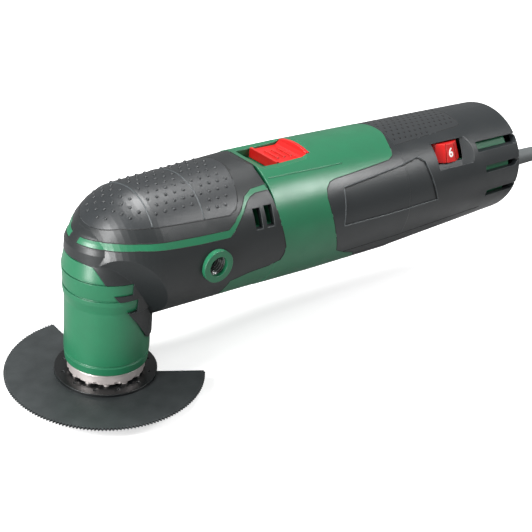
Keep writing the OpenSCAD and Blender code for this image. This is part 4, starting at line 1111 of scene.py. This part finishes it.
        collar = self.skin("motor_housing")
        spot = collar.at_image(POINTS.collar_ridge).place / MM
        fine = LineMesh(0.0009, 0.0003)
        for side in Side:
            fine.add([collar.from_side(x * 0.5, spot.z, side) for x in range(131, 215)])
        fine.make("collar_ridges", Finish.GREEN)

        cover = self.skin("left_rear_cover", "right_rear_cover", "left_label_plate",
                          "right_label_plate")
        frame_line = LineMesh(0.0006, 0.0002)
        grown = [(x * 1.015 + 0.2, z * 1.03 - 0.15) for x, z in self.label_edge]
        for side in Side:
            frame_line.add(self.side_spots(cover, grown, self.rear_x, side, closed=True))
        frame_line.make("label_frames", Finish.HIGHLIT_RIDGE)
        log.info("raised lines laid")

    def arc_x(self, middle: Vector, y: float) -> float:
        """Place of a pad arc at y, bowed about its middle."""
        share = (y - middle.y) / self.arc_half_width
        return middle.x - self.arc_bow * share * share - self.arc_slant * share

    def pad_outline_holds(self, x: float, z: float) -> bool:
        """Whether a place lies well inside the front pad.

        Args:
            x: Its place along the body, in millimetres.
            z: Its height, in millimetres.

        Returns:
            True where a dome has room.
        """
        edge = self._moved(self.pad_edge, self.nose_x)
        low = -1e9
        for (xa, za), (xb, zb) in zip(edge, edge[1:]):
            if xa <= x <= xb:
                low = za + (zb - za) * (x - xa) / (xb - xa)
        return z > low + self.dome_low_clear and x < edge[-1][0] - self.dome_rear_clear

    def domes(self) -> None:
        """Sets rows of small domes on the front pad, and on the rear pad very low dark dots of
        painted shade where its dimples are.
        """
        pad = self.skin("front_pad")
        centre = Vector((self.nose_x, 0, self.axis_z - self.nose_drop))
        front = pad.at_image(POINTS.front_arc).place / MM
        rear = pad.at_image(POINTS.rear_arc).place / MM
        domes = DomeMesh(0.00078, 0.00048)
        pitch = self.dome_pitch
        for row in range(-self.dome_rows, self.dome_rows + 1):
            beta = row * pitch * self.dome_row_rise / self.nose_r
            shift = pitch / 2 if row % 2 else 0.0
            places: list[Vector] = []
            reach = pitch / (self.nose_r * math.cos(beta))
            for i in range(1, 16):
                alpha = (i - (0.5 if row % 2 else 0.0)) * reach
                if alpha < math.radians(80):
                    places.append(centre + self.nose_r * Vector((
                        -math.sin(alpha) * math.cos(beta), math.sin(beta),
                        math.cos(alpha) * math.cos(beta))))
            for i in range(0, 14):
                places.append(Vector((self.nose_x + shift + i * pitch, self.nose_r * math.sin(beta),
                                      centre.z + self.nose_r * math.cos(beta))))
            for place in places:
                if not self.pad_outline_holds(place.x, place.z):
                    continue
                gap = min(abs(place.x - self.arc_x(arc, place.y)) for arc in (front, rear))
                if gap < self.dome_arc_clear:
                    continue
                out = Vector((min(place.x - self.nose_x, 0), place.y,
                              place.z - centre.z)).normalized()
                spot = pad.hit(place * MM + out * 0.01, -out)
                if spot is not None:
                    domes.add(spot)
        domes.make("front_pad_domes", Finish.PAD)

        rear_pad = self.skin("rear_pad")
        # Very low dark dots: painted shade in the rear pad's dimples.
        shaded_dimple_dots = DomeMesh(0.00075, 0.00008, 8)
        for row in range(-4, 5):
            for i in range(0, 13):
                x = 2.4 + i * self.dimple_x + (self.dimple_x / 2 if row % 2 else 0.0)
                y = row * self.dimple_y
                half = self.rear_pad_half - 2.9 * x / 46
                if abs(y) < half - self.dimple_clear and x < self.rear_pad_end:
                    spot = rear_pad.from_above(self.rear_x + x, y)
                    if spot is not None:
                        shaded_dimple_dots.add(spot)
        shaded_dimple_dots.make("rear_pad_dimple_shade_dots", Finish.GAP_SHADE)
        log.info("domes and dimples set")

    def partings(self) -> None:
        """Lays the long moulded lines low on the rear covers, drawn near black as painted shade
        along them.
        """
        cover = self.skin("left_rear_cover", "right_rear_cover")
        for name, point, start, end in (("upper", POINTS.upper_parting, 104.0, 206.0),
                                        ("lower", POINTS.lower_parting, 112.0, 196.0)):
            height = cover.at_image(point).place.z / MM
            lines = LineMesh(0.0005, 0.00012)
            for side in Side:
                count = int((end - start) / self.parting_step)
                lines.add([cover.from_side(start + i * self.parting_step,
                                           height + self.parting_rise * (i - count / 2), side)
                           for i in range(count)])
            lines.make(f"{name}_parting_lines", Finish.GAP_SHADE)

    def threads(self) -> None:
        """Cuts the look of a thread into the side handle's inserts."""
        points: list[Vector] = []
        faces: list[tuple[int, ...]] = []
        steps, count = self.thread_steps, self.thread_steps * self.thread_turns
        section = ((self.thread_crest, -0.5), (self.thread_root, 0.0), (self.thread_crest, 0.5))
        for side in Side:
            start = len(points)
            for i in range(count + 1):
                a = 2 * math.pi * i / steps
                depth = self.insert_depth - self.thread_pitch * i / steps
                for radius, ahead in section:
                    points.append(mm(self.insert_place[0] + radius * math.cos(a),
                                     side.value * (depth + ahead),
                                     self.insert_place[1] + radius * math.sin(a)))
            for i in range(count):
                for k in range(2):
                    a = start + i * 3 + k
                    faces.append((a, a + 1, a + 4, a + 3))
        make_object("insert_threads", points, faces, Finish.of(Finish.STEEL), Body.HOUSING)

    def build(self) -> None:
        """Builds all that belongs to the housings."""
        self.dress_shells()
        self.seams()
        self.ridges()
        self.domes()
        self.partings()
        self.threads()


# ---------------------------------------------------------------- drive, blade and controls


@dataclass
class DriveTrain:
    """The spindle, the blade and the motor's inner pieces."""

    def build(self) -> None:
        """Puts finishes on every inner and driven solid."""
        dress(Finish.STEEL, "spindle", "clamp_washer", "clamp_screw", "motor_shaft",
              "lower_bearing", "upper_bearing", "front_motor_bearing", "rear_motor_bearing",
              "eccentric_bearing", "stator_core", "armature_core", "plug_pins", "brush_springs")
        dress(Finish.ALLOY, "fork_lever", "bearing_bracket", "eccentric")
        dress(Finish.COPPER, "field_coils", "armature_winding", "commutator")
        dress(Finish.INNER, "fan", "brush_bracket", "switch_unit", "slide_rod", "cord_clamp")
        dress(Finish.BRASS, "brush_holders")
        dress(Finish.CARBON, "carbon_brushes")
        dress(Finish.BOARD, "circuit_board")
        dress(Finish.BLUE, "potentiometer")
        dress(Finish.YELLOW, "capacitor")
        dress(Finish.HOLDER, "tool_holder")
        dress(Finish.BLADE, "saw_blade")
        dress(Finish.HUB, "blade_hub")


@dataclass
class Controls:
    """The slide switch and the numbered speed dial."""

    dial_x: float = 176.8
    dial_tilt: float = 86.0
    rise: float = 1.5
    axis_z: float = 55.6
    rear_x: float = 143.5
    axis_r: float = 11.7
    lift: float = 17.6
    dial_r: float = 11.8
    taper: float = 19.0
    numeral_h: float = 4.6
    letter_size: float = 1.38
    print_rise: float = 0.04
    numbers: int = 6
    number_turn: float = 60.0

    def dial_frame(self) -> Matrix:
        """The frame at the dial's middle.

        Returns:
            X along the body, Y on the dial's axis, Z outwards.
        """
        z = self.axis_z + (self.dial_x - self.rear_x) * math.sin(math.radians(self.rise))
        return (Matrix.Translation(mm(self.dial_x, 0, z))
                @ Matrix.Rotation(math.radians(self.dial_tilt), 4, "X")
                @ Matrix.Translation(mm(0, self.lift, self.axis_r)))

    def numeral(self, text: str, turn: float) -> bpy.types.Object:
        """Prints one number on a flat of the dial.

        Args:
            text: The number.
            turn: How far its flat lies from the one that shows, in degrees.

        Returns:
            The number's mesh.
        """
        curve = bpy.data.curves.new("numeral", "FONT")
        curve.body = text
        curve.size = self.numeral_h * self.letter_size * MM
        curve.align_x = "CENTER"
        curve.align_y = "CENTER"
        curve.extrude = 0.00005
        curve.offset = 0.00012
        loose = link("numeral", curve)
        graph = bpy.context.evaluated_depsgraph_get()
        mesh = bpy.data.meshes.new_from_object(loose.evaluated_get(graph))
        bpy.data.objects.remove(loose)
        place = (self.dial_frame() @ Matrix.Rotation(math.radians(turn), 4, "Y")
                 @ Matrix.Translation(mm(0, 0, self.dial_r))
                 @ Matrix.Rotation(math.radians(-self.taper), 4, "X")
                 @ Matrix.Translation(mm(0, 0, self.print_rise)))
        mesh.transform(place)
        mesh.materials.clear()
        mesh.materials.append(Finish.of(Finish.WHITE))
        piece = link(f"dial_number_{text}", mesh)
        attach(piece, Body.DIAL.value)
        return piece

    def build(self) -> None:
        """Dresses the switch and the dial, and prints the dial's numbers."""
        dress(Finish.RED, "slide_button", "speed_dial")
        for k in range(self.numbers):
            self.numeral(str(self.numbers - k), -self.number_turn * k)
        log.info("dial numbered")


# ---------------------------------------------------------------- studio


@dataclass
class Studio:
    """A plain pale floor and soft lamps."""

    floor_z: float = -7.72
    floor_half: float = 6.0
    floor_tone: Colour = (0.3, 0.3, 0.3)
    floor_glow: float = 0.52
    world_light: float = 0.34

    def floor(self) -> None:
        """Makes the floor, which reads white and keeps the object's shadow."""
        mesh = bpy.data.meshes.new("floor")
        half = self.floor_half
        mesh.from_pydata([(-half, -half, 0), (half, -half, 0), (half, half, 0), (-half, half, 0)],
                         [], [(0, 1, 2, 3)])
        floor = link("floor", mesh)
        floor.location = (0, 0, self.floor_z * MM)
        recipe = Recipe("pale_floor")
        seen = recipe.nodes.new("ShaderNodeLightPath").outputs["Is Camera Ray"]
        pale = recipe.mixed(recipe.ranged(recipe.noise(0.4), 0.0, 1.0),
                            (0.86, 0.86, 0.86), (0.83, 0.83, 0.83))
        recipe.feed("Base Color", recipe.mixed(seen, self.floor_tone, pale))
        recipe.feed("Roughness", 0.9)
        recipe.feed("Specular IOR Level", 0.1)
        glow = recipe.nodes.new("ShaderNodeEmission")
        recipe.links.new(recipe.times(seen, self.floor_glow), glow.inputs["Strength"])
        both = recipe.nodes.new("ShaderNodeAddShader")
        output = recipe.nodes["Material Output"]
        recipe.links.new(recipe.shader.outputs["BSDF"], both.inputs[0])
        recipe.links.new(glow.outputs["Emission"], both.inputs[1])
        recipe.links.new(both.outputs["Shader"], output.inputs["Surface"])
        mesh.materials.append(recipe.material)
        floor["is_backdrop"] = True

    def world(self) -> None:
        """Makes the pale surroundings."""
        world = bpy.data.worlds.new("studio")
        world.use_nodes = True
        nodes, links = world.node_tree.nodes, world.node_tree.links
        path = nodes.new("ShaderNodeLightPath")
        seen = nodes.new("ShaderNodeMath")
        seen.operation = "MAXIMUM"
        links.new(path.outputs["Is Camera Ray"], seen.inputs[0])
        links.new(path.outputs["Is Transmission Ray"], seen.inputs[1])
        strength = nodes.new("ShaderNodeMapRange")
        strength.inputs["To Min"].default_value = self.world_light
        strength.inputs["To Max"].default_value = 1.0
        links.new(seen.outputs["Value"], strength.inputs["Value"])
        background = nodes["Background"]
        background.inputs["Color"].default_value = (1, 1, 1, 1)
        links.new(strength.outputs["Result"], background.inputs["Strength"])
        bpy.context.scene.world = world

    def lamp(self, name: str, place: tuple[float, float, float], aim: tuple[float, float, float],
             size: float, power: float) -> None:
        """Hangs one soft lamp.

        Args:
            name: The lamp's name.
            place: Where it hangs, in metres.
            aim: What it looks at, in metres.
            size: The length of its sides, in metres.
            power: Its power in watts.
        """
        data = bpy.data.lights.new(name, "AREA")
        data.size = size
        data.energy = power
        lamp = link(name, data)
        lamp.location = place
        lamp.rotation_mode = "QUATERNION"
        lamp.rotation_quaternion = (Vector(aim) - Vector(place)).to_track_quat("-Z", "Y")

    def build(self) -> None:
        """Builds the floor, the surroundings and the lamps."""
        self.floor()
        self.world()
        self.lamp("key_lamp", (-0.85, 0.0, 0.65), (0.05, 0, 0.05), 0.4, 12.0)
        self.lamp("top_lamp", (0.15, 0.15, 0.95), (0.12, 0, 0.05), 0.4, 10.5)
        self.lamp("low_lamp", (-0.6, -0.14, 0.08), (0.02, 0, 0.03), 0.14, 4.2)
        self.lamp("side_lamp", (0.7, -0.55, 0.75), (0.12, 0, 0.06), 0.32, 5.5)


# ---------------------------------------------------------------- report of the points


@dataclass
class PointReport:
    """Measures how far things show from their image points."""

    rows: dict[str, list[float]] = field(default_factory=dict)

    def note(self, name: str, place: Point2, point: Point2) -> None:
        """Notes how far a place lies from its point, in x and y."""
        self.rows[name] = [round(place[0] - point[0], 2), round(place[1] - point[1], 2)]

    def shown(self, *objects: bpy.types.Object) -> list[Point2]:
        """The image places of the vertices that show.

        Args:
            objects: The objects whose vertices are looked at.

        Returns:
            Their x and y in the photograph's frame.
        """
        graph = bpy.context.evaluated_depsgraph_get()
        scene = bpy.context.scene
        origin = Vector(CAMERA.place)
        places: list[Point2] = []
        for item in objects:
            shown = item.evaluated_get(graph)
            mesh = shown.to_mesh()
            for vertex in mesh.vertices:
                place = shown.matrix_world @ vertex.co
                away = place - origin
                hit, where, _, _, _, _ = scene.ray_cast(graph, origin, away.normalized())
                if hit and (where - place).length < 0.0006:
                    places.append(CAMERA.image(place))
            shown.to_mesh_clear()
        return places

    def edges(self) -> None:
        """Measures the object's outer edges, without its cord."""
        cord = {"mains_cord", "plug_shell", "plug_pins", "cord_sleeve", "cord_inlet"}
        outer = [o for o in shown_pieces() if o.name not in cord and not o.hide_render]
        places = self.shown(*[o for o in outer if o.name in (
            "saw_blade", "left_rear_cover", "right_rear_cover", "rear_pad")])
        xs, ys = [p[0] for p in places], [p[1] for p in places]
        self.note("left_x", (min(xs), 0.0), (POINTS.left_x, 0.0))
        self.note("right_x", (max(xs), 0.0), (POINTS.right_x, 0.0))
        self.note("top_y", (0.0, min(ys)), (0.0, POINTS.top_y))
        self.note("bottom_y", (0.0, max(ys)), (0.0, POINTS.bottom_y))

    def middle(self, name: str, point: Point2, places: Sequence[Point2]) -> None:
        """Notes how far the middle of what shows lies from its point.

        Args:
            name: The point's name.
            point: The point, in the photograph's frame.
            places: Where the thing shows.
        """
        if not places:
            self.rows[name] = NOT_SHOWN
            return
        x = (min(p[0] for p in places) + max(p[0] for p in places)) / 2
        y = (min(p[1] for p in places) + max(p[1] for p in places)) / 2
        self.note(name, (x, y), point)

    def nearest(self, name: str, point: Point2, places: Sequence[Point2]) -> None:
        """Notes how far the nearest shown place of a long thing lies from its point.

        Args:
            name: The point's name.
            point: The point, in the photograph's frame.
            places: Where the thing shows.
        """
        if not places:
            self.rows[name] = NOT_SHOWN
            return
        self.note(name, min(places, key=lambda p: math.dist(p, point)), point)

    def write(self) -> None:
        """Measures all points and notes them in its rows."""
        objects = bpy.data.objects
        self.edges()
        self.middle("handle_hole", POINTS.handle_hole, self.shown(objects["left_handle_ring"]))
        hub = self.shown(objects["blade_hub"])
        self.note("hub_bottom", max(hub, key=lambda p: p[1]), POINTS.hub_bottom)
        blade = self.shown(objects["saw_blade"])
        self.note("blade_tip", max(blade, key=lambda p: p[0]), POINTS.blade_tip)
        self.nearest("slot_corner", POINTS.slot_corner, self.shown(objects["left_rear_cover"]))
        self.middle("numeral", POINTS.numeral, self.shown(objects["dial_number_6"]))
        for name, piece, point in (
                ("front_arc", "pad_arcs", POINTS.front_arc),
                ("rear_arc", "pad_arcs", POINTS.rear_arc),
                ("collar_ridge", "collar_ridges", POINTS.collar_ridge),
                ("upper_parting", "upper_parting_lines", POINTS.upper_parting),
                ("lower_parting", "lower_parting_lines", POINTS.lower_parting)):
            self.nearest(name, point, self.shown(objects[piece]))


def main() -> None:
    """Builds the scene: camera, cord, tool, studio, then the measures of the points."""
    logging.basicConfig(level=logging.INFO, format="%(name)s: %(message)s")
    bpy.context.scene.view_settings.view_transform = "Standard"
    CAMERA.make()
    MainsLead().build()
    DriveTrain().build()
    Housings().build()
    Controls().build()
    Studio().build()
    bpy.context.view_layer.update()
    PointReport().write()


if __name__ == "__main__":
    main()
